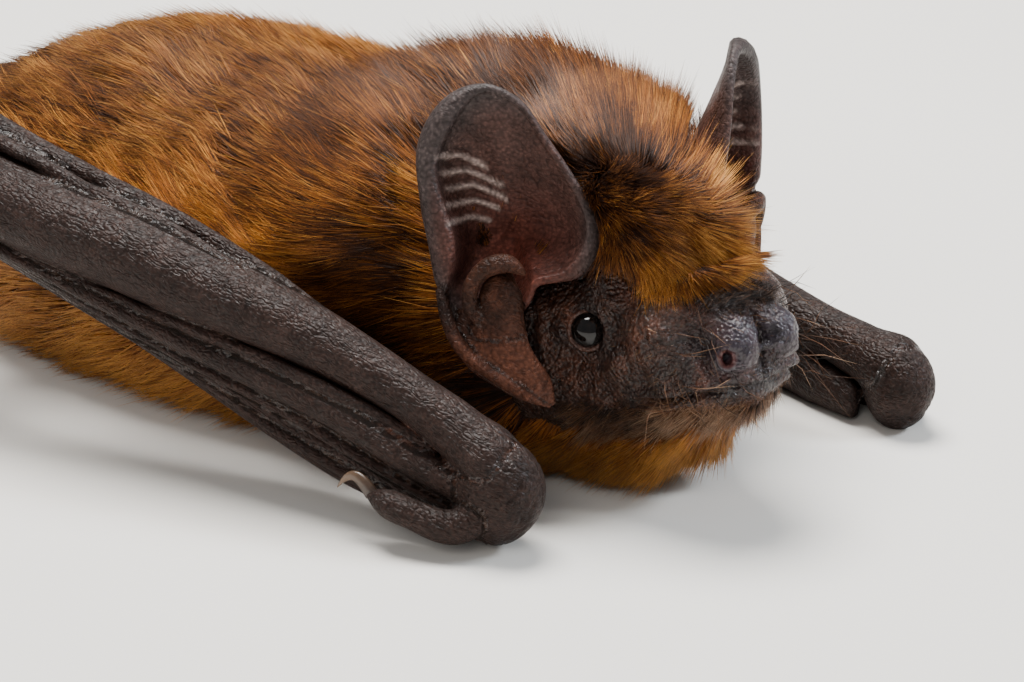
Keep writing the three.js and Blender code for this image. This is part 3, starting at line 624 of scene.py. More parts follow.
def arm_strip(side, rows, steps=74, around=13, wave=0.0, seed=0):
    """A strip along the arm. rows: place from the wrist in mm, middle outward, middle down, half thickness
    and half depth. wave lets it wander."""
    wrist, _, along, outward, down = arm_frame(side)
    rows = np.array(rows, float)
    t = (1 - np.cos(np.linspace(0, np.pi, steps))) / 2 * 0.5 + np.linspace(0, 1, steps) * 0.5
    place = rows[0, 0] + (rows[-1, 0] - rows[0, 0]) * t
    at = along_table(rows, place)
    wander = np.stack([place, 0 * place + seed * 7.3, 0 * place], -1)
    out = at[:, 0] + wave * noise(wander, 5.0, seed)
    rise = ARMS[side]["bow"] * along_table(np.array(BOW_ROWS, float), place)[:, 0]
    under = at[:, 1] > 0.5
    low = at[:, 1] - rise * np.clip(1 - at[:, 1] / FOLDED_DEPTH, 0, 1) + wave * noise(wander, 7.0, seed + 5)
    at[:, 3] *= np.where(under, 1 + rise / FOLDED_DEPTH, 1)
    middle = wrist + place[:, None] * along + out[:, None] * outward + low[:, None] * down
    sunk = np.maximum(0, at[:, 3] - middle[:, 2])
    middle = middle + 2.5 * sunk[:, None] * outward
    middle[:, 2] += sunk
    angle = np.linspace(0, 2 * np.pi, around, endpoint=False)
    side_way = np.cos(angle)[None, :, None] * at[:, 2, None, None] * outward
    depth_way = np.sin(angle)[None, :, None] * at[:, 3, None, None] * down
    rings = middle[:, None] + side_way + depth_way
    rings[..., 2] = np.maximum(rings[..., 2], 0.0)
    return closed_surface(rings)


def forearm_surface(side):
    """The forearm: smooth and round, a little narrower just past the wrist."""
    length = arm_frame(side)[1]
    rows = [
        [-1.5, 0.0, -0.3, 0.5, 0.6], [0.0, 0.1, -0.4, 1.7, 1.8], [3.0, 0, -0.5, 1.5, 1.6],
        [6, 0, -0.45, 1.37, 1.4], [10, 0, -0.4, 1.5, 1.5],
        [15, 0, -0.3, 1.85, 1.85], [20, 0, -0.2, 2.1, 2.1], [28, 0, -0.1, 2.3, 2.3], [36, 0, 0, 2.2, 2.2],
        [46, 0, 0, 2.1, 2.1], [length + 0.5, 0, 0, 1.5, 1.6], [length + 2, 0, 0, 0.2, 0.2],
    ]
    return arm_strip(side, rows, 96, 36)


HAND_STRIPS = [
    [
        [0.3, 0.7, 1.0, 0.9, 0.8], [4, 1.15, 1.3, 0.95, 0.7], [10, 1.5, 1.4, 0.75, 0.62],
        [16, 1.45, 1.7, 0.7, 0.55], [25, 1.2, 2.1, 0.7, 0.42], [38, 0.7, 2.0, 0.6, 0.36],
        [50, 0.2, 1.9, 0.3, 0.3]
    ],
    [
        [0.8, 0.3, 1.8, 0.6, 0.5], [4, 0.75, 1.95, 0.75, 0.4], [10, 0.95, 2.0, 0.7, 0.4],
        [16, 0.95, 2.15, 0.6, 0.36], [25, 0.75, 2.4, 0.6, 0.3], [38, 0.45, 2.3, 0.5, 0.3],
        [48, 0, 2.2, 0.25, 0.25]
    ],
    [
        [1, 0.5, 2.3, 0.7, 0.5], [4.5, 1.1, 2.4, 0.8, 0.3], [10, 1.3, 2.45, 0.6, 0.28],
        [16, 1.2, 2.55, 0.55, 0.25], [25, 0.9, 2.7, 0.5, 0.22], [38, 0.4, 2.5, 0.45, 0.2],
        [48, 0, 2.4, 0.25, 0.2]
    ],
    [
        [1.2, 0.3, 2.7, 0.7, 0.5], [5, 0.7, 2.9, 0.75, 0.42], [10, 0.85, 3.0, 0.7, 0.4],
        [16, 0.75, 3.0, 0.6, 0.34], [25, 0.5, 3.05, 0.5, 0.3], [38, 0.15, 2.75, 0.45, 0.28],
        [46, -0.3, 2.7, 0.25, 0.25]
    ],
    [
        [1.5, 0.1, 3.1, 0.7, 0.5], [5.5, 1.0, 3.3, 0.7, 0.3], [11, 1.15, 3.4, 0.6, 0.26],
        [18, 0.85, 3.3, 0.5, 0.24], [28, 0.35, 3.2, 0.45, 0.22], [38, 0, 2.95, 0.4, 0.2],
        [45, -0.5, 2.9, 0.25, 0.2]
    ],
    [
        [2.5, -0.4, 3.5, 0.6, 0.4], [7, 0.3, 3.8, 0.7, 0.4], [12, 0.4, 3.85, 0.65, 0.36],
        [20, 0, 3.65, 0.5, 0.3], [32, -0.4, 3.35, 0.45, 0.26], [44, -0.6, 3.1, 0.2, 0.2]
    ],
    [
        [2, -1.2, 1.8, 0.6, 1.0], [10, -0.7, 2.3, 1.0, 1.7], [25, -0.8, 2.4, 1.0, 1.5],
        [40, -1.0, 2.0, 0.8, 1.2], [50, -1.0, 1.6, 0.5, 0.9]
    ],
    [
        [4, 0.9, 0.7, 0.3, 0.3], [10, 1.45, 0.75, 0.35, 0.3], [18, 1.5, 1.1, 0.3, 0.26],
        [26, 1.35, 1.6, 0.25, 0.2], [36, 1.2, 1.6, 0.2, 0.16]
    ],
]
FRONT_STRIPS = [
    [
        [12, -0.6, -1.5, 0.15, 0.15], [18, -1.2, -2.1, 0.4, 0.4], [25, -1.5, -2.45, 0.55, 0.55],
        [32, -1.8, -2.6, 0.65, 0.75], [40, -2.0, -2.8, 0.7, 0.8], [48, -2.3, -2.4, 0.3, 0.4]
    ],
    [
        [16, 0.1, -1.9, 0.12, 0.12], [22, -0.4, -2.25, 0.35, 0.3], [30, -0.7, -2.5, 0.45, 0.4],
        [38, -0.9, -2.5, 0.5, 0.45], [47, -1.2, -2.3, 0.2, 0.2]
    ],
    [
        [16, -1.2, -1.5, 0.2, 0.2], [26, -1.7, -1.8, 0.5, 0.6], [36, -1.9, -1.9, 0.6, 0.8],
        [46, -1.9, -1.8, 0.3, 0.4]
    ],
]


def knuckle_surface(side):
    """The bent wrist: a rounded knob, longer along the arm and deeper below, with creases across it."""
    wrist, _, along, outward, down = arm_frame(side)
    tilt = np.linspace(0.03, np.pi - 0.03, 50)[:, None]
    turn = np.linspace(0, 2 * np.pi, 56, endpoint=False)
    n = np.stack([np.cos(turn) * np.sin(tilt), np.sin(turn) * np.sin(tilt), np.cos(tilt) + 0 * turn], -1)
    x, y, z = (n[..., i, None] for i in range(3))
    p = 2.65 * z * -along + 2.15 * x * outward + (2.8 + 0.5 * np.maximum(y, 0)) * y * down
    p = p * ARMS[side]["knob"] + along * 0.35
    fold = np.exp(-((noise(n, 0.32, 3) / 0.1) ** 2)) + 0.7 * np.exp(
        -((noise(n * [1, 1, 2.2], 0.5, 4) / 0.1) ** 2)
    )
    rings = wrist + p * (1 - 0.045 * fold)[..., None]
    rings[..., 2] = np.maximum(rings[..., 2], 0.0)
    return closed_surface(rings)


def thumb_points(side):
    """Root, middle and end of the thumb, which lies back along the folded hand from the wrist."""
    wrist, _, along, outward, _ = arm_frame(side)
    root = wrist + 2.1 * ARMS[side]["knob"] * outward + 1.6 * along
    middle = wrist + 2.95 * outward + 4.2 * along
    end = wrist + 2.95 * outward + 6.8 * along
    root[2], middle[2], end[2] = np.array([1.2, 1.7, 2.2]) + wrist[2] - 2.8
    return wrist + 0.7 * outward + 0.4 * along - (0, 0, 0.6), root, middle, end


def side_bands(side):
    """The folded side membrane: two upright, rumpled bands that hang from the elbow down to the ankle."""
    wrist, length, along, outward, down = arm_frame(side)
    start = wrist + (length - 5) * along - 1.0 * outward + 1.8 * down
    path = np.array([start, *SIDE_FOLDS[side], np.array(LEGS[side]["ankle"]) + (-side * 0.7, 0.6, -0.3)])
    bands = []
    for k, (inward, drop, tall) in enumerate(((0.0, 0.0, 1.0), (0.55, -0.5, 0.75))):
        middle = path + np.array([side * inward, 0, drop]) * np.array(
            [[0], [1], [1], [0.8], [0.6], [0.4], [0]]
        )
        heights = [
            [0, 0.4, 1.0 * tall], [0.2, 0.36, 1.7 * tall], [0.45, 0.34, 1.9 * tall], [0.7, 0.32, 1.3 * tall],
            [1, 0.3, 0.4]
        ]
        rings = limb_rings(middle, heights, 60, 16, 0.05)
        rings[..., 0] += 0.55 * noise(rings * [1, 1, 0.6], 2.2, 60 + k) * smooth(rings[..., 1], 48, 54)
        bands.append(closed_surface(rings))
    return bands


def wing_surfaces(side):
    """All surfaces of one folded wing."""
    thickness = [[0, 1.2, 1.2], [0.25, 1.05, 1.0], [0.6, 0.8, 0.8], [0.85, 0.72, 0.7], [1, 0.2, 0.2]]
    thumb = closed_surface(limb_rings(thumb_points(side), thickness, 44, 20))
    upper = closed_surface(upper_arm_rings(side))
    strips = [arm_strip(side, rows, 72, 12, 0.12, i) for i, rows in enumerate(HAND_STRIPS)]
    front = [arm_strip(side, rows, 56, 11, 0.16, i + 10) for i, rows in enumerate(FRONT_STRIPS)]
    return [forearm_surface(side), knuckle_surface(side), thumb, upper, *strips, *front, *side_bands(side)]


# Legs and tail

TOES = 5
SHEET_WALL = 0.26  # thickness of the tail membrane, in mm


def foot_directions(side):
    """Sole, unit reach along the foot and unit spread across it."""
    leg = LEGS[side]
    ankle, toes = np.array(leg["ankle"], float), np.array(leg["toes"], float)
    reach = toes - ankle
    reach[2] = 0
    reach = unit(reach)
    sole = ankle + 3 * reach
    sole[2] = 1.2
    return sole, reach, np.array([-reach[1], reach[0], 0.0])


def toe_points(side, i):
    """Root, joint and tip of one toe."""
    sole, reach, spread = foot_directions(side)
    fan = (i - (TOES - 1) / 2) * 0.8
    way = unit(reach + spread * fan * 0.14)
    root = sole + 1.2 * reach + fan * spread
    root[2] = 0.9
    tip = root + 5 * way
    tip[2] = 0.75
    joint = (root + tip) / 2
    joint[2] = 1.1
    return root, joint, tip, way


def leg_rings(side):
    """Rings of thigh and shin, bent at the knee."""
    leg = LEGS[side]
    radii = [
        [0, 2.7, 2.7], [0.22, 2.15, 2.15], [0.38, 1.5, 1.5], [0.46, 1.35, 1.35], [0.56, 1.3, 1.3],
        [0.86, 0.95, 0.95], [1, 0.85, 0.85]
    ]
    return limb_rings([leg["hip"], leg["knee"], leg["ankle"]], radii, 64, 24)


def upper_arm_rings(side):
    """Rings of the upper arm, from the shoulder back to the elbow."""
    arm = ARMS[side]
    shoulder, elbow = np.array(arm["shoulder"], float), np.array(arm["elbow"], float)
    bend = (shoulder + elbow) / 2 - (0, 0, 2.5)
    return limb_rings(
        [shoulder, bend, elbow], [[0, 1.5, 1.5], [0.5, 1.1, 1.1], [0.9, 1.4, 1.4], [1, 0.4, 0.4]], 30, 24
    )


def leg_surfaces(side):
    """Thigh, shin, foot and toes of one leg."""
    leg = LEGS[side]
    sole, reach, _ = foot_directions(side)
    ball = sole + 2 * reach
    ball[2] = 1.0
    made = [
        closed_surface(leg_rings(side)),
        closed_surface(
            limb_rings([leg["ankle"], sole, ball], [[0, 0.9, 0.9], [0.6, 1.7, 1.0], [1, 1.3, 0.7]], 26, 20)
        ),
    ]
    for i in range(TOES):
        root, joint, tip, _ = toe_points(side, i)
        radii = [
            [0, 0.42, 0.42], [0.3, 0.42, 0.4], [0.5, 0.36, 0.36], [0.62, 0.42, 0.42], [0.9, 0.36, 0.36],
            [1, 0.15, 0.15]
        ]
        made.append(closed_surface(limb_rings([root, joint, tip], radii, 22, 12)))
    return made


def tail_surface():
    """The tail: a thin tube along its path, thinner toward its tip."""
    return closed_surface(
        limb_rings(TAIL, [[0, 1.6, 1.6], [0.25, 0.95, 0.85], [0.8, 0.62, 0.6], [1, 0.2, 0.2]], 90, 16)
    )


def tail_membrane(side):
    """The tail membrane of one side: a thin sheet from thigh and shin in to the tail, lifted in soft folds
    and fine wrinkles that fade toward its tip."""
    leg = LEGS[side]
    hip = np.array(leg["hip"], float)
    heel = np.array(leg["ankle"], float) + (-side * 0.2, 1, 0)
    trailing = np.array(TAIL[3], float) + (-side * 5.5, 0, 0)
    t = np.linspace(0, 1, 50)
    inner, _ = along_path([(1.2, 52.5, 4.0), *TAIL], 0.91 * t)
    outer, _ = along_path([hip + (-side * 3.0, 2.6, -0.8), leg["knee"], heel, trailing, TAIL[-1]], 0.93 * t)
    x = np.linspace(0, 1, 32)[None, :, None]
    sheet = inner[:, None] * (1 - x) + outer[:, None] * x
    across = x[..., 0]
    fold = 0.24 * np.sin(across * 11 + 3 * t[:, None]) + 0.3 * noise(sheet, 4.0, 8 + side)
    fold += 0.09 * np.sin(
        across * 34 - 14 * t[:, None] + 2 * noise(sheet, 5.0, 12)
    ) + 0.12 * noise(sheet, 1.6, 13)
    slack = np.sin(np.pi * across) * (1 - 0.7 * t[:, None])
    middle = (
        0.65 + (sheet[..., 2] - 0.4) * 0.5 - 0.5 * slack * np.maximum(sheet[..., 2] - 1.2, 0)
        + 0.6 * fold * slack
    )
    middle += (sheet[..., 2] - middle) * smooth(across, 0.6, 1.0) * (1 - smooth(t[:, None], 0.35, 0.6))
    top, low = sheet.copy(), sheet.copy()
    top[..., 2] = np.maximum(middle + SHEET_WALL / 2, 0.3)
    low[..., 2] = np.maximum(middle - SHEET_WALL / 2, 0.02)
    return closed_surface(np.concatenate([top, low[:, ::-1]], 1))


# Colours and markings


def linear(code):
    """An sRGB hex colour as linear red, green and blue."""
    c = np.array([int(code[i : i + 2], 16) for i in (1, 3, 5)]) / 255
    return np.where(c <= 0.04045, c / 12.92, ((c + 0.055) / 1.055) ** 2.4)


def in_ear(points, side):
    """Front, up and out of points on one ear's plane."""
    at, to_front, up_ear, facing = ear_frame(side)
    away = points - at
    return away @ to_front, away @ up_ear, away @ facing


def head_place(points):
    """Forward, distance out to either side, and up of points from the middle of the head."""
    forward, right, up = in_head(points)
    return np.stack([forward, np.abs(right), up], -1)


def spot(points, middle, radius):
    """1 at a point on either side of the head, given as forward, out and up, and fading out round it."""
    return np.exp(-np.sum((head_place(points) - middle) ** 2, -1) / radius**2)


# Height of the fur's lower edge over the brow, by place forward
BROW_EDGE = [
    (-4, 5.6), (-2, 5.1), (-1, 4.6), (0.5, 4.3), (2.0, 3.8), (3.5, 2.9), (4.5, 1.9), (5.4, 1.5), (6.0, 2.0),
    (6.5, 3.5)
]

# Height of the bare skin's lower edge on the jaw, by place forward
JAW_EDGE = [(-4, -5.2), (-3, -5.5), (-1, -5.9), (1, -6.1), (3, -5.8), (5, -5.2), (6, -4.9)]


def furred(points):
    """1 where the head and trunk have fur and 0 on the bare face. Its edge runs over the brow, down before
    the ear and along the jaw."""
    forward, out, up = head_place(points).T
    brow = np.interp(forward, *np.array(BROW_EDGE).T) + 0.35 * noise(points, 0.7, 32)
    top = smooth(up, brow - 0.3, brow + 0.3) * smooth(-forward, -5.0 + 0.3 * out, -4.2 + 0.3 * out)
    jaw = np.interp(forward, *np.array(JAW_EDGE).T) + 0.25 * noise(points, 0.8, 33)
    low = smooth(-up, -jaw - 0.3, -jaw + 0.5) * smooth(-forward, -5.6, -4.6)
    back = smooth(-forward, 4.6, 5.4)
    return np.maximum(np.maximum(top, low), back)


def markings(points):
    """How light the fur is at its tips, 0 to 1, and how much painted sheen it has: lighter on the brow,
    throat and flanks, darker on the crown's middle, and darker behind and below the ears, partly darker fur
    and partly painted shade. The painted sheen is a cool grey that stands in for light glancing off the coat,
    in patches and on top of the crown."""
    forward, _, up = head_place(points).T
    light = 0.5 + 0.24 * noise(points, 6.0, 21) + 0.24 * noise(points, 2.2, 22)
    light += (
        0.05 * smooth(forward, 0.8, 2.6) * smooth(up, 0.5, 1.5) - 0.3 * spot(points, (-0.6, 4.6, 4.6), 1.8)
    )
    light += (
        0.6 * smooth(-up, 4, 7) * smooth(forward, -8, -4)
        + 0.32 * smooth(-points[:, 2], -9, -4) * smooth(points[:, 1], 18, 26)
    )
    light -= (
        0.2 * spot(points, (-1.0, 0.6, 7.0), 2.4)
        + 0.48 * smooth(points[:, 1], 3, 8) * (1 - smooth(points[:, 1], 14, 22)) * smooth(up, 6, 9)
    )
    light -= (
        0.5 * smooth(forward, 5.2, 6.2) * smooth(up, 0.3, 1.2)
        + 0.2 * smooth(up, 4.5, 7) * smooth(forward, -9, -5)
    )
    light -= 0.25 * smooth(forward, 3.4, 4.8) * smooth(up, 1.0, 2.0)
    light += 0.4 * smooth(-up, 3.4, 4.2) * smooth(forward, 2, 5)
    # Darker behind and below the ears: partly darker fur, partly painted shade.
    for place, radius, amount in (
        ((-10.2, 9.1, 3.5), 3.4, 0.5), ((-9.3, 8.8, -1.0), 2.6, 0.45), ((-14.9, 8.0, 9.7), 1.7, 0.75),
        ((-6.3, 7.0, -4.6), 1.8, 0.3)
    ):
        light -= amount * spot(points, place, radius)
    # Painted sheen: cool grey in patches and on top of the crown, standing in for light glancing off the
    # coat.
    painted_sheen = 0.25 * noise(points, 4.0, 23) + 0.2 * spot(points, (-2.5, 1.5, 8.5), 2.5)
    return np.clip(light, 0, 1), np.clip(painted_sheen, 0, 1)


def skin_tint(points, kind, colours):
    """Colour of the skin at each point: dark under the fur, near black on nose, lids and rims, warmer on the
    cheek lobe and in the ear. Painted shade darkens the head's hollows and creases, the mouth's crease, the
    nostril holes and the skin under the fringe; painted highlight lightens the head's swellings and the ribs
    inside the ears; the nose carries a painted bluish sheen."""
    base = {name: linear(code) for name, code in colours.items()}
    tint = np.tile(base["face"], (len(points), 1))

    def blend(colour, amount):
        """Moves the tint toward a colour by an amount from 0 to 1."""
        tint[:] = tint + (base[colour] - tint) * np.clip(amount, 0, 1)[:, None]

    place = head_place(points)
    blend("dark", 0.8 * spot(points, (0.2, 5.2, 0), 1.5) + 0.5 * spot(points, (4.6, 4.4, -3.4), 1.5))
    blend("dark", 0.6 * smooth(noise(points, 1.3, 71), 0.0, 0.6))
    blend("warm", 0.45 * smooth(noise(points, 0.9, 72), 0.05, 0.6))
    blend("warm", 0.35 * spot(points, (-1.0, 5.8, -2.6), 1.6) + 0.25 * spot(points, (6.4, 2.6, 1.2), 1.4))
    # Painted light: hollows of the head darkened as painted shade, swellings made warmer and lighter as
    # painted highlight.
    for f, r, u, radius, amount in HEAD_FORMS:
        blend(
            "warm" if amount > 0 else "dark",
            (
                0.5 * amount if amount > 0 else -1.2 * amount
            ) * spot(points, (f, r, u), 0.8 * radius) * (kind == KINDS["body"])
        )
    # Along the mouth: the lips' own dark colour and painted shade in its crease.
    away, _ = near_line(place, MOUTH)
    blend("dark", np.exp(-((away / 0.36) ** 2)))
    # Painted shade in the crease behind the nostril.
    away, _ = near_line(place, NOSTRIL_CREASE)
    blend("dark", 0.8 * np.exp(-((away / 0.2) ** 2)))
    # The nose pad's own dark colour, with a painted bluish sheen in it.
    blend("nose", 0.9 * spot(points, (8.2, 1.6, -0.8), 1.9))
    deep = np.linalg.norm(place - NOSTRIL - 0.25 * np.array(NOSTRIL_WAY), axis=1)
    blend("canal", 0.4 * smooth(-deep, -0.62, -0.42))
    # Painted shade deep in the nostril's hole.
    blend("dark", smooth(-deep, -0.5, -0.35) * (kind == KINDS["body"]))
    blend("warm", 0.35 * (kind == KINDS["lid"]))
    # Darker on the top of the snout and above the eye, under the fringe: partly dark skin, partly painted
    # shadow of the fringe.
    blend("dark", 0.75 * spot(points, (5.4, 0.9, 2.4), 1.9) + 0.5 * spot(points, (2.2, 4.4, 2.7), 1.3))
    # The nostril's rim, away from its hole, takes the nose colour with its painted bluish sheen.
    blend("nose", 0.5 * (kind == KINDS["nostril"]) * smooth(deep, 0.4, 0.7))
    blend("under_fur", furred(points) * (kind == KINDS["body"]))
    blend(
        "warm",
        0.55 * smooth(-place[:, 2], 3.7, 4.4) * smooth(place[:, 0], 1.5, 4) * (kind == KINDS["body"])
        * (1 - furred(points))
    )
    for side in SIDES:
        b, a, n = in_ear(points, side)
        own = (kind == KINDS["ear"]) * (np.abs(n) < 12) * (side * in_head(points)[1] > 0)
        rim = smooth(np.hypot((b - 1.3) / 4.6, (a - 3.6) / 7.4), 0.72, 0.98)
        canal = np.exp(-(((b - 1.2) / 2.6) ** 2 + ((a - 1.6) / 3.0) ** 2))
        blend("ear", own * 1.0)
        blend("canal", own * canal * 0.6)
        blend("rim", own * rim * 0.85)
        # Painted highlight along the ribs inside the ear.
        for line in EAR_RIDGES:
            away, _ = near_line(np.stack([b, a], -1), line)
            blend("ridge", own * 0.75 * np.exp(-((away / 0.15) ** 4)) * (n > -5))
        blend("warm", 0.7 * (kind == KINDS["lobe"]) * smooth(-a, 0.5, 3.5) * (side * in_head(points)[1] > 0))
    blend("wing", (kind == KINDS["wing"]) * 1.0)
    blend("foot", (kind == KINDS["leg"]) * 1.0)
    return tint


# Skin

KINDS = {"body": 0, "ear": 1, "lobe": 2, "lid": 3, "wing": 4, "leg": 5, "tail": 6, "nostril": 7}
LEATHER_KINDS = ("ear", "lobe", "wing", "leg", "tail")
# How strong the fine relief of the skin is on each kind of surface
RELIEF = {
    "body": 1.0,
    "ear": 0.45,
    "lobe": 0.8,
    "lid": 0.5,
    "wing": 1.0,
    "leg": 0.8,
    "tail": 0.7,
    "nostril": 0.5,
}


def skin_surfaces():
    """Every closed surface that the skin is joined from, with its kind."""
    made = [(closed_surface(sculpt_head(body_rings())), "body")]
    for side in SIDES:
        made.append((closed_surface(ear_rings(side)), "ear"))
        made += [(s, "lobe") for s in tragus(side) + cheek_lobe(side)]
        made += [(eyelids(side), "lid"), (nostril(side), "nostril")]
        made += [(s, "wing") for s in wing_surfaces(side)]
        made += [(s, "leg") for s in leg_surfaces(side)]
        made.append((tail_membrane(side), "tail"))
    return made + [(tail_surface(), "tail")]


def to_row(points):
    """Points in mm to metres in the row frame."""
    return (np.asarray(points) + SHIFT) * MM


def from_row(points):
    """Points in metres in the row frame to mm."""
    return np.asarray(points) / MM - SHIFT


def mesh_object(name, points, faces):
    """A smooth-shaded object whose mesh holds these points, in metres in the row frame, and faces."""
    mesh = bpy.data.meshes.new(name)
    faces = np.asarray(faces, np.int32)
    mesh.vertices.add(len(points))
    mesh.vertices.foreach_set("co", np.asarray(points, np.float32).ravel())
    mesh.loops.add(faces.size)
    mesh.loops.foreach_set("vertex_index", faces.ravel())
    mesh.polygons.add(len(faces))
    mesh.polygons.foreach_set("loop_start", np.arange(len(faces), dtype=np.int32) * faces.shape[1])
    mesh.update(calc_edges=True)
    mesh.polygons.foreach_set("use_smooth", np.ones(len(faces), bool))
    made = bpy.data.objects.new(name, mesh)
    bpy.context.scene.collection.objects.link(made)
    return made


def put_values(mesh, name, values, kind="FLOAT", field="value"):
    """One number, colour or vector for each vertex, kept as an attribute."""
    made = mesh.attributes.new(name, kind, "POINT")
    made.data.foreach_set(field, np.asarray(values, np.float32).ravel())


def get_points(mesh):
    """The places of a mesh's vertices."""
    points = np.empty(len(mesh.vertices) * 3, np.float32)
    mesh.vertices.foreach_get("co", points)
    return points.reshape(-1, 3).astype(float)


def joined(name, surfaces):
    """One object: the union of closed surfaces, each vertex keeping its kind."""
    pieces = []
    for i, ((points, faces), kind) in enumerate(surfaces):
        pieces.append(mesh_object(f"{name}_{i}", to_row(points), faces))
        put_values(pieces[-1].data, "kind", np.full(len(points), KINDS[kind]))
    for other in pieces[1:]:
        union = pieces[0].modifiers.new("join", "BOOLEAN")
        union.operation = "UNION"
        union.solver = "MANIFOLD"
        union.object = other
    mesh = bpy.data.meshes.new_from_object(pieces[0].evaluated_get(bpy.context.evaluated_depsgraph_get()))
    for other in pieces:
        bpy.data.objects.remove(other)
    made = bpy.data.objects.new(name, mesh)
    bpy.context.scene.collection.objects.link(made)
    mesh.polygons.foreach_set("use_smooth", np.ones(len(mesh.polygons), bool))
    return made


def soften_joins(mesh, kind, rounds=6):
    """Smooths the skin where two of its surfaces meet: near a change of kind each vertex moves toward the
    middle of its neighbours."""
    points = get_points(mesh)
    edges = np.empty(len(mesh.edges) * 2, np.int32)
    mesh.edges.foreach_get("vertices", edges)
    a, b = edges.reshape(-1, 2).T
    count = np.maximum(np.bincount(np.r_[a, b], minlength=len(points)), 1)

    def average(values):
        """The mean of a value over the vertices next to each one."""
        return (np.bincount(a, values[b], len(points)) + np.bincount(b, values[a], len(points))) / count

    mask = np.zeros(len(points))
    apart = np.abs(kind[a] - kind[b]) > 0.1
    mask[a[apart]] = 1
    mask[b[apart]] = 1
    for _ in range(2):
        mask = np.maximum(mask, 0.9 * average(mask))
    for _ in range(rounds):
        target = np.stack([average(points[:, i]) for i in range(3)], -1)
        points += 0.5 * np.clip(mask, 0, 1)[:, None] * (target - points)
    mesh.vertices.foreach_set("co", points.astype(np.float32).ravel())
    mesh.update()


def skin_lie(points, kind):
    """Places in which the creases are laid out: pressed together along the arm on the wings, so that they run
    with it."""
    lie = points * (1.0, 0.62, 1.0)
    for side in SIDES:
        wrist, _, along, outward, down = arm_frame(side)
        away = points - wrist
        own = (kind == KINDS["wing"]) & (points[:, 0] * side < 0)
        lie[own] = np.stack([away @ along * 0.4, away @ outward, away @ down], -1)[own] + side * 40
    return lie


def build_skin(colours):
    """The skin of the whole animal as one piece."""
    skin = joined("skin", skin_surfaces())
    mesh = skin.data
    kind = np.empty(len(mesh.vertices), np.float32)
    mesh.attributes["kind"].data.foreach_get("value", kind)
    kind = np.round(kind)
    soften_joins(mesh, kind)
    points = from_row(get_points(mesh))
    tint = skin_tint(points, kind, colours)
    put_values(mesh, "tint", np.c_[tint, np.ones(len(tint))], "FLOAT_COLOR", "color")
    put_values(mesh, "wet", spot(points, (8.4, 1.6, -0.9), 1.7))
    relief = np.array([RELIEF[name] for name in KINDS])[kind.astype(int)]
    put_values(mesh, "relief", relief * (1 - 0.6 * spot(points, (8.2, 1.6, -0.8), 1.9)))
    put_values(mesh, "lie", skin_lie(points, kind) * MM, "FLOAT_VECTOR", "vector")
    mesh.materials.clear()
    mesh.materials.append(skin_material())
    mesh.materials.append(leather_material())
    corners, starts = np.empty(len(mesh.loops), np.int32), np.empty(len(mesh.polygons), np.int32)
    mesh.loops.foreach_get("vertex_index", corners)
    mesh.polygons.foreach_get("loop_start", starts)
    leather = np.isin(kind[corners[starts]], [KINDS[name] for name in LEATHER_KINDS])
    mesh.polygons.foreach_set("material_index", leather.astype(np.int32))
    return skin


# Coat

# Rings of three vertices along a tuft: place from root to tip and girth
FINE = ((0.0, 1.0),)
BENT = ((0.0, 0.8), (0.5, 1.0))
PATCH = 0.003  # how far across each tuft's patch on the OFBake map is
LIMB_TUFT = 0.07  # width of a tuft on limbs and ears, in mm


def tuft_faces(count, rings):
    """Triangles of many tufts, each with rings of three vertices and a tip: a cap at the root, bands and a
    cone."""
    one = [[0, 2, 1]]
    for j in range(3):
        k = (j + 1) % 3
        for i in range(0, 3 * (rings - 1), 3):
            one += [[i + j, i + k, i + k + 3], [i + j, i + k + 3, i + j + 3]]
        one.append([3 * rings - 3 + j, 3 * rings - 3 + k, 3 * rings])
    return (np.array(one)[None] + (3 * rings + 1) * np.arange(count)[:, None, None]).reshape(-1, 3)


def tuft_points(roots, normals, flow, lift, length, width, pull, shape, floor=0.03):
    """The vertices of each tuft. The middle line leaves the root at the lift angle from the flow, p(t) = root
    + L * (integral of flow cos a + normal sin a), with a falling to a third of the lift at the tip, and is
    pulled sideways by pull * t^1.5. Three vertices stand round it at each ring of the shape."""
    flow = unit(flow - np.sum(flow * normals, 1, keepdims=True) * normals)
    marks = np.array([mark for mark, _ in shape] + [1.0])
    centres = []
    at = roots - 0.12 * normals
    for k, mark in enumerate(marks):
        if k:
            step = mark - marks[k - 1]
            angle = lift * (1.15 - 0.8 * (mark + marks[k - 1]) / 2)
            at = at + (length * step)[:, None] * (
                np.cos(angle)[:, None] * flow + np.sin(angle)[:, None] * normals
            )
        moved = at + pull * mark**1.5
        moved[:, 2] = np.maximum(moved[:, 2], floor + 0.02 * k)
        centres.append(moved)
    across = np.cross(normals, flow)
    points = np.empty((len(roots), 3 * len(shape) + 1, 3))
    for k, (_, girth) in enumerate(shape):
        along = unit(centres[k + 1] - centres[max(k - 1, 0)])
        side = unit(across - np.sum(across * along, 1, keepdims=True) * along)
        out = np.cross(along, side)
        for j in range(3):
            angle = 2 * np.pi * j / 3 + 0.5
            points[:, 3 * k + j] = (
                centres[k] + (0.5 * girth * width)[:, None] * (np.cos(angle) * side + np.sin(angle) * out)
            )
    points[:, -1] = centres[-1]
    return points


def near_clump(points, size, seed):
    """The middle of the clump that each root belongs to: a jittered point of a lattice, and a random number
    that its clump shares."""
    cell = np.floor(points / size).astype(np.int64)
    h = (cell[:, 0] * 73856093) ^ (cell[:, 1] * 19349663) ^ (cell[:, 2] * 83492791) ^ (seed * 7919)
    draws = []
    for _ in range(4):
        h = (h ^ (h >> 15)) * 2246822519 & 0x7FFFFFFF
        h = (h ^ (h >> 13)) & 0x7FFFFFFF
        draws.append((h & 0xFFFF) / 65535)
    jitter = np.stack(draws[:3], -1)
    return (cell + 0.2 + 0.6 * jitter) * size, draws[3]


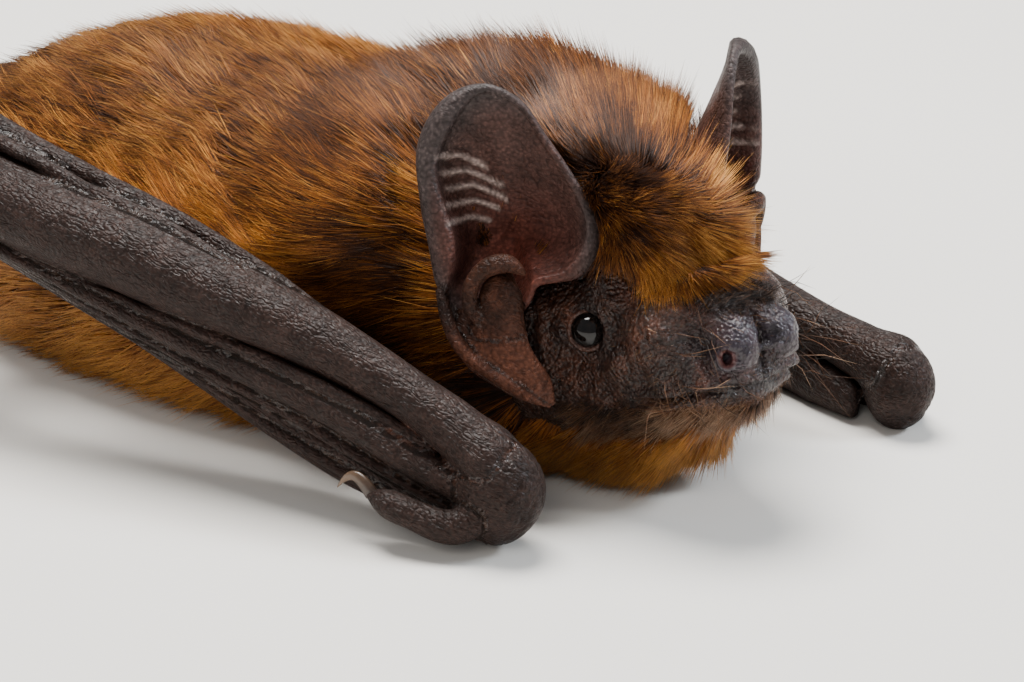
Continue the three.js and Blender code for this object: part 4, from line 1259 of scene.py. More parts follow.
def coat_piece(name, roots, normals, places, fields, seed, material, clump=0.34, guard=True, shape=FINE):
    """One coat piece with its colour attributes and its OFBake map. fields: flow, lift, length, width for
    each root; places: the root's place on the unwrapped skin, 0 to 1 both ways."""
    flow, lift, length, width = fields
    draw = np.random.default_rng(seed)
    count = len(roots)
    middle, share = near_clump(roots, clump, seed)
    pull = middle - roots
    pull = (
        pull - np.sum(pull * normals, 1, keepdims=True) * normals
    ) * 0.75 * np.minimum(1, length / 3)[:, None]
    turn = (
        0.4 * noise(roots, 2.4, seed) + 0.45 * noise(roots, 0.8, seed + 1)
        + 0.12 * draw.standard_normal(count)
    )
    across = np.cross(normals, unit(flow))
    flow = unit(flow) + across * turn[:, None]
    lift = np.clip(
        lift * (1 + 0.45 * noise(roots, 1.3, seed + 2) + 0.15 * draw.standard_normal(count)), 0.02, 1.45
    )
    length = length * (1 + 0.16 * draw.standard_normal(count) + 0.2 * noise(roots, 1.0, seed + 3))
    width = width * draw.uniform(0.75, 1.25, count)
    points = tuft_points(roots, normals, flow, lift, length, width, pull, shape)
    clear = ~(guard & (blocked(points[:, -1]) | blocked((points[:, 0] + points[:, -1]) / 2)))
    points, places, roots, share = points[clear], places[clear], roots[clear], share[clear]
    count = len(points)
    faces = tuft_faces(count, len(shape))
    made = mesh_object(name, to_row(points.reshape(-1, 3)), faces)
    light, painted_sheen = markings(roots)
    _, lock = near_clump(roots, 0.75, seed + 9)
    tone = np.clip(
        light + 0.5 * (share - 0.5) + 0.44 * (lock - 0.5) + 0.22 * draw.standard_normal(count), 0, 1
    )
    along = np.array([*np.repeat([mark for mark, _ in shape], 3), 1.0])
    corners = len(along)
    put_values(made.data, "along", np.tile(along, count))
    put_values(made.data, "tone", np.repeat(tone, corners))
    # Each tuft's share of painted sheen, with a little random spread.
    put_values(
        made.data, "painted_sheen", np.repeat(np.clip(painted_sheen + 0.15 * draw.standard_normal(count), 0, 1), corners)
    )
    patch = np.stack([along - 0.5, (np.arange(corners) % 3 - 1) / 2], -1)
    uv = np.repeat(0.01 + 0.98 * places, corners, axis=0) + PATCH * np.tile(patch, (count, 1))
    layer = made.data.uv_layers.new(name="OFBake")
    layer.uv.foreach_set("vector", uv[faces.ravel()].astype(np.float32).ravel())
    made.data.materials.append(material)
    return made


def inside_outline(x, y, outline):
    """Whether points lie inside a closed outline, by the number of its edges that they lie under."""
    inside = np.zeros(len(x), bool)
    for (x0, y0), (x1, y1) in zip(outline, outline[1:] + outline[:1]):
        spans = (y0 > y) != (y1 > y)
        inside ^= spans & (x < (x1 - x0) * (y - y0) / (y1 - y0 + 1e-12) + x0)
    return inside


def blocked(points):
    """Whether points lie in an ear's opening, in a folded wing or over an eye, where no tuft may pass."""
    stop = np.zeros(len(points), bool)
    for side in SIDES:
        b, a, n = in_ear(points, side)
        depth = ear_depth(b, a)
        stop |= inside_outline(b, a, EAR_OUTLINE) & (n > -depth - 0.5) & (n < 4)
        stop |= (
            (b > -2.6) & (b < 3.2) & (a > -6.2) & (a < 0) & (n > -1.6) & (n < 3)
            & (b > -2.6 - (a + 0.5) * 0.75)
        )
        stop |= np.linalg.norm(points - head_point(*np.multiply(EYE_AT, (1, side, 1))), axis=1) < 1.7
        wrist, length, along, outward, down = arm_frame(side)
        away = points - wrist
        x, y, z = away @ along, away @ outward, away @ down
        rise = ARMS[side]["bow"] * np.interp(x, *np.array(BOW_ROWS, float).T)
        stop |= (x > -3) & (x < length + 1) & (y > -1.9) & (y < 2.6) & (z > -2.0 - rise) & (z < 5.5)
        stop |= (x > 14) & (x < 48) & (y > -2.5) & (y < 0) & (z > -2.8 - rise) & (z < -1.0 - rise)
    return stop


def grow_on(rings, count, density, seed):
    """Roots spread over a surface of rings: (points, normals, places). Cells are drawn by their area times
    density, and a root lies anywhere in its cell."""
    draw = np.random.default_rng(seed)
    wrapped = np.concatenate([rings, rings[:, :1]], 1)
    a, b, c, d = wrapped[:-1, :-1], wrapped[1:, :-1], wrapped[1:, 1:], wrapped[:-1, 1:]
    area = np.linalg.norm(np.cross(c - a, d - b), axis=-1) / 2
    normals = ring_normals(rings)
    weight = area * density((a + c) / 2, normals[:-1])
    total = np.cumsum(weight.ravel())
    pick = np.searchsorted(total, (np.arange(count) + draw.uniform(size=count)) / count * total[-1])
    i, j = np.unravel_index(np.minimum(pick, weight.size - 1), weight.shape)
    s, t = draw.uniform(size=(2, count, 1))
    k = (j + 1) % rings.shape[1]

    def inside(values):
        """A value of the rings at each root, blended between its cell's corners."""
        return (1 - s) * ((1 - t) * values[i, j] + t * values[i, k]) + s * (
            (1 - t) * values[i + 1, j] + t * values[i + 1, k]
        )

    places = np.stack([(i + s[:, 0]) / rings.shape[0], (j + t[:, 0]) / rings.shape[1]], -1)
    return inside(rings), unit(inside(normals)), places


def body_fields(points, normals):
    """How the coat lies on the head and trunk: (flow, lift, length, width) in mm and radians. It runs forward
    and down over the forehead, stands up on the nape, runs back along the trunk, and back and down from
    the jaw."""
    forward, right, up = in_head(points)
    out = np.abs(right)
    side = np.sign(right)[:, None]
    y, z = points[:, 1], points[:, 2]
    head = 1 - smooth(y, 4.0, 10.0)
    part = 0.1 - 0.6 * np.clip(right, -2.5, 3.5) + 0.9 * noise(points, 1.8, 31)
    crown = head * smooth(up, 0.5, 3.0)
    brow = crown * smooth(forward, part - 1.3, part + 1.3)
    near_part = crown * np.exp(-(((forward - part) / 1.6) ** 2))
    throat = head * smooth(-up, 2.5, 5.0)
    nape = smooth(y, 2, 7) * (1 - smooth(y, 13, 22)) * smooth(normals[:, 2], -0.1, 0.6)
    collar = smooth(y, 1, 5) * (1 - smooth(y, 12, 18)) * smooth(-normals[:, 2], -0.5, 0.1)
    flank = smooth(y, 12, 20) * (1 - smooth(y, 44, 54)) * (1 - smooth(z, 8, 15)) * smooth(z, 6, 8)
    low = smooth(y, 12, 20) * (1 - smooth(z, 5, 7)) * smooth(normals[:, 2], -0.9, -0.5)
    belly = smooth(-normals[:, 2], 0.45, 0.85) * smooth(y, 6, 14)
    back = np.array([0.0, 1.0, 0.0])
    flow = np.tile(back, (len(points), 1))
    flow[:, 0] += 0.25 * smooth(y, 44, 58) * np.clip((SPINE_X - points[:, 0]) / 6, -1, 1)

    def mix(amount, vector):
        """Turns the flow toward a direction by an amount from 0 to 1."""
        flow[:] = flow + (vector - flow) * np.clip(amount, 0, 1)[:, None]

    mix(flank, back + [0, 0, 0.75])
    mix(low, back + np.sign(points[:, :1] - SPINE_X) * [0.5, 0, 0] - [0, 0, 0.45])
    mix(nape, back + [0, 0, 0.25])
    mix(collar, back * 0.8 + side * RIGHT * 0.5 - UP * 0.25)
    fan = np.clip(out / 4.5, 0, 1)[:, None]
    mix(crown, -FORWARD + side * RIGHT * 0.35 * fan + UP * 0.2)
    mix(brow, FORWARD * (1 - 0.45 * fan) + side * RIGHT * 0.8 * fan - UP * 0.7)
    mix(throat, -FORWARD - 0.5 * UP + side * RIGHT * 0.15)
    mix(belly, back)

    def level(start, *changes):
        """A start value moved toward each target in turn by its amount."""
        value = np.full(len(points), float(start))
        for amount, target in changes:
            value += (target - value) * np.clip(amount, 0, 1)
        return value

    fringe = brow * smooth(forward, 0.3, 3.6)
    lift = level(
        0.38, (flank, 0.45), (low, 0.6), (nape, 0.7), (collar, 0.75), (crown, 0.8), (brow, 0.75),
        (near_part, 1.15), (fringe, 0.3), (throat, 0.55), (belly, 0.08)
    )
    length = level(
        3.7, (nape, 4.3), (collar, 4.0), (crown, 3.6), (brow, 3.0), (near_part, 3.0),
        (brow * smooth(out, 3.0, 4.5) * (1 - smooth(forward, 2, 4)), 2.6), (throat, 3.4), (belly, 3.0)
    )
    length *= 1 - 0.5 * smooth(y, 50, 59)
    edge = furred(points)
    length *= np.where(head > 0.5, 0.55 + 0.45 * edge, 1)
    width = level(0.094, (crown, 0.08), (throat, 0.086), (nape, 0.09), (belly, 0.14))
    return flow, lift, length, width


def body_regions():
    """Coat pieces of the head and trunk: name, tufts and how thickly they grow at a point with a normal."""

    def on(y_low, y_high, test):
        """How thickly fur grows between two distances back, where the test of place and normal holds."""

        def density(points, normals):
            """1 where a tuft may grow and 0 elsewhere."""
            shape = points.shape[:2]
            p, n = points.reshape(-1, 3), normals.reshape(-1, 3)
            keep = (p[:, 1] >= y_low) & (p[:, 1] < y_high) & test(p, n) & (furred(p) > 0.35)
            return keep.reshape(shape).astype(float)

        return density

    def upper(p, n):
        """Whether a point of the head lies over the level of its jaw."""
        return in_head(p)[2] > -1.5

    def lower(p, n):
        """Whether it lies under it."""
        return ~upper(p, n)

    return [
        ("coat_crown", 62000, on(-20, 5, upper)),
        ("coat_throat", 35000, on(-20, 5, lower)),
        ("coat_nape", 49500, on(5, 14, lambda p, n: n[:, 2] > 0)),
        ("coat_collar", 29000, on(5, 14, lambda p, n: n[:, 2] <= 0)),
        ("coat_shoulders", 49500, on(14, 26, lambda p, n: n[:, 2] > 0)),
        ("coat_back", 49500, on(26, 42, lambda p, n: n[:, 2] > 0)),
        ("coat_rump", 42500, on(42, 60, lambda p, n: n[:, 2] > -0.4)),
        ("coat_belly", 31000, on(14, 60, lambda p, n: (n[:, 2] <= 0) & ((n[:, 2] <= -0.4) | (p[:, 1] < 42)))),
    ]


def build_coat(sizes, colours):
    """The fur of the head and trunk."""
    rings = sculpt_head(body_rings())
    material = fur_material(colours)
    made = []
    for i, (name, count, density) in enumerate(body_regions()):
        roots, normals, places = grow_on(rings, int(count * sizes["thickness"]), density, 100 + i)
        flow, lift, length, width = body_fields(roots, normals)
        width = width * 1.0
        fields = flow, lift, length * sizes["length"], width
        made.append(coat_piece(name, roots, normals, places, fields, 200 + i, material))
    made += build_limb_coat(sizes, material)
    hairs = {"fur_mid": colours["hair"], "fur_tip": colours["hair_tip"], "fur_low": colours["fur_root"]}
    dark = fur_material({**colours, **hairs})
    return [*made, build_face_hairs(dark), build_whiskers(dark)]


def limb_plans():
    """Coat pieces off the trunk: name, tufts, rings of the surface, how thickly they grow, the way they lie,
    length and lift, and whether they keep clear of the ears."""

    def thigh_way(side):
        """From hip to knee."""
        return np.subtract(LEGS[side]["knee"], LEGS[side]["hip"])

    def arm_way(side):
        """From shoulder to elbow."""
        return np.subtract(ARMS[side]["elbow"], ARMS[side]["shoulder"])

    def fading(side, p, n):
        """Thick at the limb's root and thin at its end."""
        return np.linspace(1, 0.1, len(p))[:, None] * np.ones(p.shape[:2])

    def low_on_ear(side, p, n):
        """A band across the back of the ear near its base."""
        _, a, _ = in_ear(p, side)
        return smooth(-a, -5.5, -2.0) * smooth(a, -2.5, -1.0)

    return [
        ("coat_thighs", 13000, lambda side: leg_rings(side)[:26], fading, thigh_way, 2.6, 0.45, True),
        ("coat_upper_arms", 7500, lambda side: upper_arm_rings(side)[:22], fading, arm_way, 2.6, 0.4, True),
        (
            "coat_ears", 9000, lambda side: ear_rings(side)[-13:-1], low_on_ear,
            lambda side: ear_frame(side)[2], 1.5, 0.4, False
        ),
    ]


def build_limb_coat(sizes, material):
    """Shorter fur on the thighs, the upper arms and the lower backs of the ears."""
    made = []
    for k, (name, count, shape, density, way, length, lift, guard) in enumerate(limb_plans()):
        halves = []
        for side in SIDES:
            share = int(count * sizes["thickness"]) // 2
            roots, normals, places = grow_on(
                shape(side), share, lambda p, n: density(side, p, n), 300 + 10 * k + side
            )
            long = length * sizes["length"] * (1 - 0.6 * places[:, 0] * guard)
            places[:, 0] = 0.5 * places[:, 0] + 0.25 + 0.25 * side
            flow = np.tile(way(side), (share, 1)).astype(float)
            fields = flow, np.full(share, lift), long, np.full(share, LIMB_TUFT)
            halves.append((roots, normals, places, *fields))
        roots, normals, places, *fields = (np.concatenate(half) for half in zip(*halves))
        made.append(coat_piece(name, roots, normals, places, fields, 320 + k, material, guard=guard))
    return made


def face_fields(points, draw):
    """Short hairs of the bare face: they lie back from the nose, and stand up and forward along the top of
    the snout."""
    forward, _, up = head_place(points).T
    side = np.sign(in_head(points)[1])[:, None]
    top = smooth(forward, 5.6, 6.6) * smooth(up, 0.3, 1.1)
    chin = smooth(-up, 3.4, 4.4)
    flow = -FORWARD * 1.0 - 0.35 * UP + side * RIGHT * 0.1
    flow = flow + (FORWARD * 0.8 + 0.6 * UP - flow) * top[:, None]
    lift = 0.4 + 0.7 * top + 0.25 * chin
    length = (0.55 + 0.6 * top + 0.85 * chin) * draw.uniform(0.5, 1.4, len(points))
    return flow, lift, length, 0.034 + 0.012 * chin


def build_face_hairs(material):
    """Sparse short hairs on the bare face, thickest on the chin and along the top of the snout."""
    draw = np.random.default_rng(41)

    def density(points, normals):
        """Thin on the bare face, thicker on chin and snout, and none at the nostril, the eye or in the
        fur."""
        p = points.reshape(-1, 3)
        forward, _, up = head_place(p).T
        keep = (
            (furred(p) < 0.5) * smooth(forward, -2.2, -1.2) * (1 - spot(p, (8.2, 1.8, -1.0), 1.0))
            * (np.linalg.norm(head_place(p) - EYE_AT, axis=1) > 1.8)
        )
        return (
            keep
            * (0.4 + 1.3 * smooth(-up, 3.0, 4.6) + 1.2 * smooth(forward, 5.6, 6.4) * smooth(up, 0.4, 1.2))
        ).reshape(points.shape[:2])

    roots, normals, places = grow_on(sculpt_head(body_rings()), 13000, density, 42)
    return coat_piece("coat_face", roots, normals, places, face_fields(roots, draw), 43, material, clump=0.2)


def build_whiskers(material):
    """Long fine hairs from the sides of the snout and the lips, each bending down toward its tip."""
    draw = np.random.default_rng(51)
    count = 44
    side = np.repeat([1.0, -1.0], count)
    forward = draw.uniform(4.6, 8.0, 2 * count)
    up = draw.uniform(-3.4, 1.2, 2 * count)
    rings = sculpt_head(body_rings())
    points, normals = rings.reshape(-1, 3), ring_normals(rings).reshape(-1, 3)
    f, r, u = in_head(points)
    marks = zip(forward, up, side)
    near = np.array([np.argmin((f - a) ** 2 + (u - b) ** 2 + 100 * (np.sign(r) != c)) for a, b, c in marks])
    roots, out = points[near], normals[near]
    flow = (
        FORWARD * draw.uniform(0.1, 0.8, 2 * count)[:, None]
        + UP * draw.uniform(-0.6, 0.3, 2 * count)[:, None] + out * 0.1
    )
    lift, length = draw.uniform(0.7, 1.1, 2 * count), draw.uniform(2.0, 5.0, 2 * count)
    fields = flow, lift, length, np.full(2 * count, 0.04)
    return coat_piece(
        "whiskers", roots, out, np.stack([forward / 10, (up + 4) / 8], -1), fields, 52, material, clump=0.1,
        shape=BENT
    )


# Materials


def fill(tree, node, inputs):
    """Gives a node its inputs, by name or by place: a socket is linked, and anything else is the input's
    value."""
    named = inputs if isinstance(inputs, dict) else dict(enumerate(inputs))
    for name, value in named.items():
        if isinstance(value, bpy.types.NodeSocket):
            tree.links.new(value, node.inputs[name])
        else:
            node.inputs[name].default_value = value


def add(tree, kind, inputs, output=0, stops=(), **settings):
    """Adds one node with its settings and inputs and, on a colour ramp, its stops of place and linear colour.
    Returns one of its outputs."""
    node = tree.nodes.new("ShaderNode" + kind)
    for name, value in settings.items():
        setattr(node, name, value)
    for _ in stops[2:]:
        node.color_ramp.elements.new(0.5)
    for k, (place, colour) in enumerate(stops):
        node.color_ramp.elements[k].position = place
        node.color_ramp.elements[k].color = (*colour, 1.0)
    fill(tree, node, inputs)
    return node.outputs[output]


def new_material(name):
    """A new material, its node tree, its shader and Object coordinates."""
    material = bpy.data.materials.new(name)
    material.use_nodes = True
    tree = material.node_tree
    return material, tree, tree.nodes["Principled BSDF"], add(tree, "TexCoord", {}, "Object")


def per_mm(size):
    """The scale of a pattern whose features or cells are about that many mm across: one over their size."""
    return 1 / (size * MM)


def weighted(tree, *parts):
    """The sum of several values, each times its weight."""
    total = 0.0
    for value, weight in parts:
        total = add(tree, "Math", (value, weight, total), operation="MULTIPLY_ADD")
    return total


def mottled_and_bead_shaded(tree, place, bead, strength):
    """The skin's own tint, lighter on its beads as painted highlight and darker in the pits between them as
    painted shade, and uneven by patches 1.6 mm across."""
    patch = add(tree, "TexNoise", {"Vector": place, "Scale": per_mm(1.6), "Detail": 3, "Roughness": 0.55})
    # Painted highlight on the raised beads and painted shade in the pits between them.
    between = add(tree, "MapRange", (bead, 0.15, 0.6, 1.5, 0.45))
    uneven = add(tree, "MapRange", (patch, 0.3, 0.7, 0.5, 1.6))
    shade = add(tree, "Math", (between, uneven), operation="MULTIPLY")
    shade = add(tree, "Mix", {0: strength, 2: 1.0, 3: shade})
    tint = add(tree, "Attribute", {}, "Color", attribute_name="tint")
    return add(tree, "VectorMath", {0: tint, "Scale": shade}, operation="SCALE")


def skin_material():
    """Bare bat skin: beads 0.19 mm across over soft swellings of 0.5 mm, which glint, and glossier at the
    nose."""
    material, tree, shader, place = new_material("bare_skin")
    wet, relief = (add(tree, "Attribute", {}, "Fac", attribute_name=name) for name in ("wet", "relief"))
    fine = add(tree, "TexNoise", {"Vector": place, "Scale": per_mm(0.13), "Detail": 3, "Roughness": 0.6})
    coarse = add(tree, "TexNoise", {"Vector": place, "Scale": per_mm(0.5), "Detail": 3, "Roughness": 0.55})
    bead = add(tree, "TexVoronoi", {"Vector": place, "Scale": per_mm(0.19)}, feature="SMOOTH_F1")
    rough = add(tree, "MapRange", (coarse, 0.3, 0.7, 0.25, 0.4))
    rough = add(tree, "Mix", {0: wet, 2: rough, 3: 0.3})
    height = weighted(tree, (bead, -0.19), (fine, 0.07), (coarse, 0.32))
    height = add(tree, "Math", (height, relief), operation="MULTIPLY")
    bump = add(tree, "Bump", {"Height": height, "Strength": 1.0, "Distance": MM})
    # The tint with painted highlight on the beads and painted shade in the pits between them.
    colour = mottled_and_bead_shaded(tree, place, bead, relief)
    fill(tree, shader, {"Base Color": colour, "Roughness": rough, "Specular IOR Level": 0.42, "Normal": bump})
    return material


def leather_material():
    """Skin of wings, ears and legs: matt and leathery, with a net of creases 0.46 and 0.22 mm apart that runs
    with the arm."""
    material, tree, shader, place = new_material("wing_leather")
    lie = add(tree, "Attribute", {}, "Vector", attribute_name="lie")
    relief = add(tree, "Attribute", {}, "Fac", attribute_name="relief")
    drift = add(
        tree, "TexNoise", {"Vector": place, "Scale": per_mm(1.2), "Detail": 2, "Roughness": 0.5}, "Color"
    )
    bent = add(tree, "VectorMath", (drift, (0.6 * MM,) * 3, lie), operation="MULTIPLY_ADD")
    crease, net = (
        add(tree, "TexVoronoi", {"Vector": bent, "Scale": per_mm(size)}, feature="DISTANCE_TO_EDGE")
        for size in (0.46, 0.22)
    )
    crease = add(tree, "MapRange", (crease, 0.0, 0.16, 0.0, 1.0))
    net = add(tree, "MapRange", (net, 0.0, 0.25, 0.0, 1.0))
    bead = add(tree, "TexVoronoi", {"Vector": place, "Scale": per_mm(0.19)}, feature="SMOOTH_F1")
    coarse = add(tree, "TexNoise", {"Vector": bent, "Scale": per_mm(0.5), "Detail": 3, "Roughness": 0.55})
    height = weighted(tree, (bead, -0.06), (coarse, 0.04), (crease, 0.03), (net, 0.03))
    height = add(tree, "Math", (height, relief), operation="MULTIPLY")
    bump = add(tree, "Bump", {"Height": height, "Strength": 1.0, "Distance": MM})
    # Painted highlight on the beads and painted shade between them, stronger near the creases.
    colour = mottled_and_bead_shaded(tree, place, bead, add(tree, "MapRange", (crease, 0.0, 1.0, 0.9, 0.5)))
    rough = add(tree, "MapRange", (coarse, 0.3, 0.7, 0.42, 0.55))
    fill(tree, shader, {"Base Color": colour, "Roughness": rough, "Specular IOR Level": 0.16, "Normal": bump})
    return material


def fur_material(colours):
    """Fur: dark at the root, brown up its length and golden at the tip; the dark roots are partly the hairs'
    own colour and partly painted shade deep in the coat. A cool grey painted sheen, standing in for light
    glancing off the coat, is mixed into the tips.
    """
    material, tree, shader, place = new_material("fur")
    along, tone, painted_sheen = (
        add(tree, "Attribute", {}, "Fac", attribute_name=name) for name in ("along", "tone", "painted_sheen")
    )
    c = {name: linear(code) for name, code in colours.items()}
    value = weighted(tree, (along, 0.5), (tone, 0.56))
    root, low, mid, tip, painted_sheen_colour = (c["fur_" + part] for part in ("root", "low", "mid", "tip", "painted_sheen"))
    # Dark roots: partly the hairs' own colour, partly painted shade deep in the coat.
    golden = add(tree, "ValToRGB", [value], stops=[(0.08, root), (0.42, low), (0.72, mid), (1.0, tip)])
    painted_sheen_ramp = add(tree, "ValToRGB", [value], stops=[(0.08, root), (0.45, low), (1.0, painted_sheen_colour)])
    # How far the painted sheen replaces the golden colour.
    share = add(tree, "Math", (painted_sheen, 0.8), operation="MULTIPLY")
    colour = add(tree, "Mix", {0: share, 6: golden, 7: painted_sheen_ramp}, 2, data_type="RGBA")
    streak = add(tree, "TexNoise", {"Vector": place, "Scale": per_mm(0.5), "Detail": 2, "Roughness": 0.55})
    shade = add(tree, "MapRange", (streak, 0.3, 0.7, 0.8, 1.15))
    colour = add(tree, "VectorMath", {0: colour, "Scale": shade}, operation="SCALE")
    fill(tree, shader, {"Base Color": colour, "Roughness": 0.55, "Specular IOR Level": 0.25})
    return material


def eye_material():
    """A wet black eye: almost a mirror, with a trace of brown."""
    material, tree, shader, place = new_material("wet_eye")
    trace = add(tree, "TexNoise", {"Vector": place, "Scale": per_mm(0.3), "Detail": 2, "Roughness": 0.55})
    colour = add(tree, "ValToRGB", [trace], stops=[(0.3, linear("#060505")), (0.7, linear("#120d0b"))])
    fill(tree, shader, {"Base Color": colour, "Roughness": 0.05, "Specular IOR Level": 0.35})
    return material


def claw_material():
    """Dark horn, lighter toward the tip, with fine streaks along it."""
    material, tree, shader, place = new_material("claw_horn")
    streak = add(tree, "TexNoise", {"Vector": place, "Scale": per_mm(0.15), "Detail": 4, "Roughness": 0.55})
    along = add(tree, "Attribute", {}, "Fac", attribute_name="along")
    dark = add(tree, "ValToRGB", [streak], stops=[(0.3, linear("#1c1512")), (0.7, linear("#33261e"))])
    colour = add(tree, "Mix", {0: along, 6: dark, 7: (*linear("#6b5440"), 1.0)}, 2, data_type="RGBA")
    bump = add(tree, "Bump", {"Height": streak, "Strength": 0.3, "Distance": 0.05 * MM})
    fill(tree, shader, {"Base Color": colour, "Roughness": 0.32, "Normal": bump})
    return material


def floor_material(colours):
    """Plain pale floor with a trace of tone."""
    material, tree, shader, place = new_material("pale_floor")
    pale = linear(colours["floor"])
    tone = add(tree, "TexNoise", {"Vector": place, "Scale": per_mm(40), "Detail": 2, "Roughness": 0.55})
    colour = add(tree, "ValToRGB", [tone], stops=[(0.3, pale * 0.97), (0.7, pale)])
    fill(tree, shader, {"Base Color": colour, "Roughness": 0.75})
    return material


# Eyes and claws


def build_eyes():
    """Each eye: a ball, r(angle) constant, with a slightly raised cornea facing out."""
    material = eye_material()
    made = []
    for side, name in SIDES.items():
        f, r, u = EYE_AT
        centre = head_point(f, side * r, u)
        axis = eye_axis(side)
        first = unit(np.cross(axis, UP))
        second = np.cross(axis, first)
        tilt = np.linspace(0.02, np.pi - 0.02, 48)
        turn = np.linspace(0, 2 * np.pi, 64, endpoint=False)
        radius = 1.0 + 0.05 * np.exp(-((tilt / 0.6) ** 2))
        ring = np.cos(turn)[:, None] * first + np.sin(turn)[:, None] * second
        rings = centre + radius[:, None, None] * (
            np.cos(tilt)[:, None, None] * axis + np.sin(tilt)[:, None, None] * ring[None]
        )
        points, faces = closed_surface(rings)
        ball = mesh_object(f"eyeball_{name}", to_row(points), faces)
        ball.data.materials.append(material)
        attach(ball, "root")
        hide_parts(f"eye_{name}")
        made.append(ball)
    return made


def claw(start, way, length, width, drop, steps=24, around=14):
    """A claw: a cone that arches up and down to its point, flattened sideways. p(t) = start + L t way + z
    (0.35 L sin(0.9 pi t) - drop t^2)."""
    t = np.linspace(0, 1, steps)
    middle = start + length * t[:, None] * way
    middle[:, 2] += 0.35 * length * np.sin(np.pi * t * 0.9) - drop * t**2
    along = unit(np.gradient(middle, axis=0))
    across = unit(np.cross(along, [0.0, 0.0, 1.0]))
    upward = np.cross(across, along)
    girth = width * (1 - t**1.6) + 0.02
    angle = np.linspace(0, 2 * np.pi, around, endpoint=False)
    rings = middle[:, None] + girth[:, None, None] * (
        0.62 * np.cos(angle)[None, :, None] * across[:, None] + np.sin(angle)[None, :, None] * upward[:, None]
    )
    rings[..., 2] = np.maximum(rings[..., 2], 0.0)
    points, faces = closed_surface(rings)
    return points, faces, np.r_[np.repeat(t, around), 0, 1]


def merged(parts):
    """Several (points, faces, values) as one."""
    points, faces, values = zip(*parts)
    starts = np.cumsum([0] + [len(p) for p in points[:-1]])
    faces = [f + start for f, start in zip(faces, starts)]
    return np.concatenate(points), np.concatenate(faces), np.concatenate(values)


def build_claws():
    """The claws of both feet and both thumbs."""
    material = claw_material()
    made = []
    for side, name in SIDES.items():
        toes = []
        for i in range(TOES):
            _, _, tip, way = toe_points(side, i)
            toes.append(claw(tip - 0.35 * way, way, 1.9, 0.34, tip[2] - 0.12))
        _, _, joint, tip = thumb_points(side)
        thumb_way = unit(tip - joint)
        pieces = {f"toe_claws_{name}": (toes, [f"claw_{i + 1}_{name}" for i in range(TOES)])}
        pieces[f"thumb_nail_{name}"] = (
            [claw(tip - 0.3 * thumb_way, thumb_way, 2.3, 0.42, 0.8)], [f"thumb_claw_{name}"]
        )
        for label, (parts, nodes) in pieces.items():
            points, faces, along = merged(parts)
            piece = mesh_object(label, to_row(points), faces)
            put_values(piece.data, "along", along)
            piece.data.materials.append(material)
            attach(piece, "root")
            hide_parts(*nodes)
            made.append(piece)
    return made


# Stage

CAMERA_AT = (-192.31, -151.21, 106.96)
CAMERA_BACK = (-0.71, -0.596, 0.375)
CAMERA_RIGHT = (0.643, -0.766, 0.0)
LENS = 173.7  # focal length in mm, on a sensor 36 mm wide
# Lamps: name, place and width in m, watts and colour
LAMPS = [
    ("key", (0.06, 0.08, 0.42), 0.26, 5.4, (1.0, 0.98, 0.95)),
    ("fill", (-0.42, -0.20, 0.28), 0.35, 1.3, (1.0, 0.97, 0.93)),
    ("rim", (0.22, -0.30, 0.26), 0.12, 2.0, (0.84, 0.92, 1.0)),
]


def build_stage(colours):
    """Pale floor, soft lights from above and both sides, and the camera."""
    floor = mesh_object(
        "floor", np.array([[-2, -2, 0], [2, -2, 0], [2, 2, 0], [-2, 2, 0]], float), [[0, 1, 2, 3]]
    )
    floor.data.materials.append(floor_material(colours))
    world = bpy.data.worlds.new("studio")
    world.use_nodes = True
    background = world.node_tree.nodes["Background"]
    background.inputs["Color"].default_value = (0.92, 0.95, 1.0, 1.0)
    background.inputs["Strength"].default_value = 0.34
    bpy.context.scene.world = world
    middle = to_row(np.array([0.0, 10.0, 8.0]))
    for name, at, size, watts, colour in LAMPS:
        lamp = bpy.data.lights.new(name, "AREA")
        lamp.shape = "DISK"
        lamp.size = size
        lamp.energy = watts
        lamp.color = colour
        light = bpy.data.objects.new(name, lamp)
        light.location = at
        light.rotation_euler = mathutils.Vector(middle - np.array(at)).to_track_quat("-Z", "Y").to_euler()
        light.visible_glossy = name != "fill"
        bpy.context.scene.collection.objects.link(light)
    lens = bpy.data.cameras.new("camera")
    lens.sensor_width = 36
    lens.lens = LENS
    lens.clip_start = 0.01
    camera = bpy.data.objects.new("camera", lens)
    back, right = unit(np.array(CAMERA_BACK)), unit(np.array(CAMERA_RIGHT))
    up = np.cross(back, right)
    turn = mathutils.Matrix([right, up, back]).transposed().to_4x4()
    camera.matrix_world = mathutils.Matrix.Translation(to_row(np.array(CAMERA_AT))) @ turn
    bpy.context.scene.collection.objects.link(camera)
    bpy.context.scene.camera = camera


# Settings, operators and panel

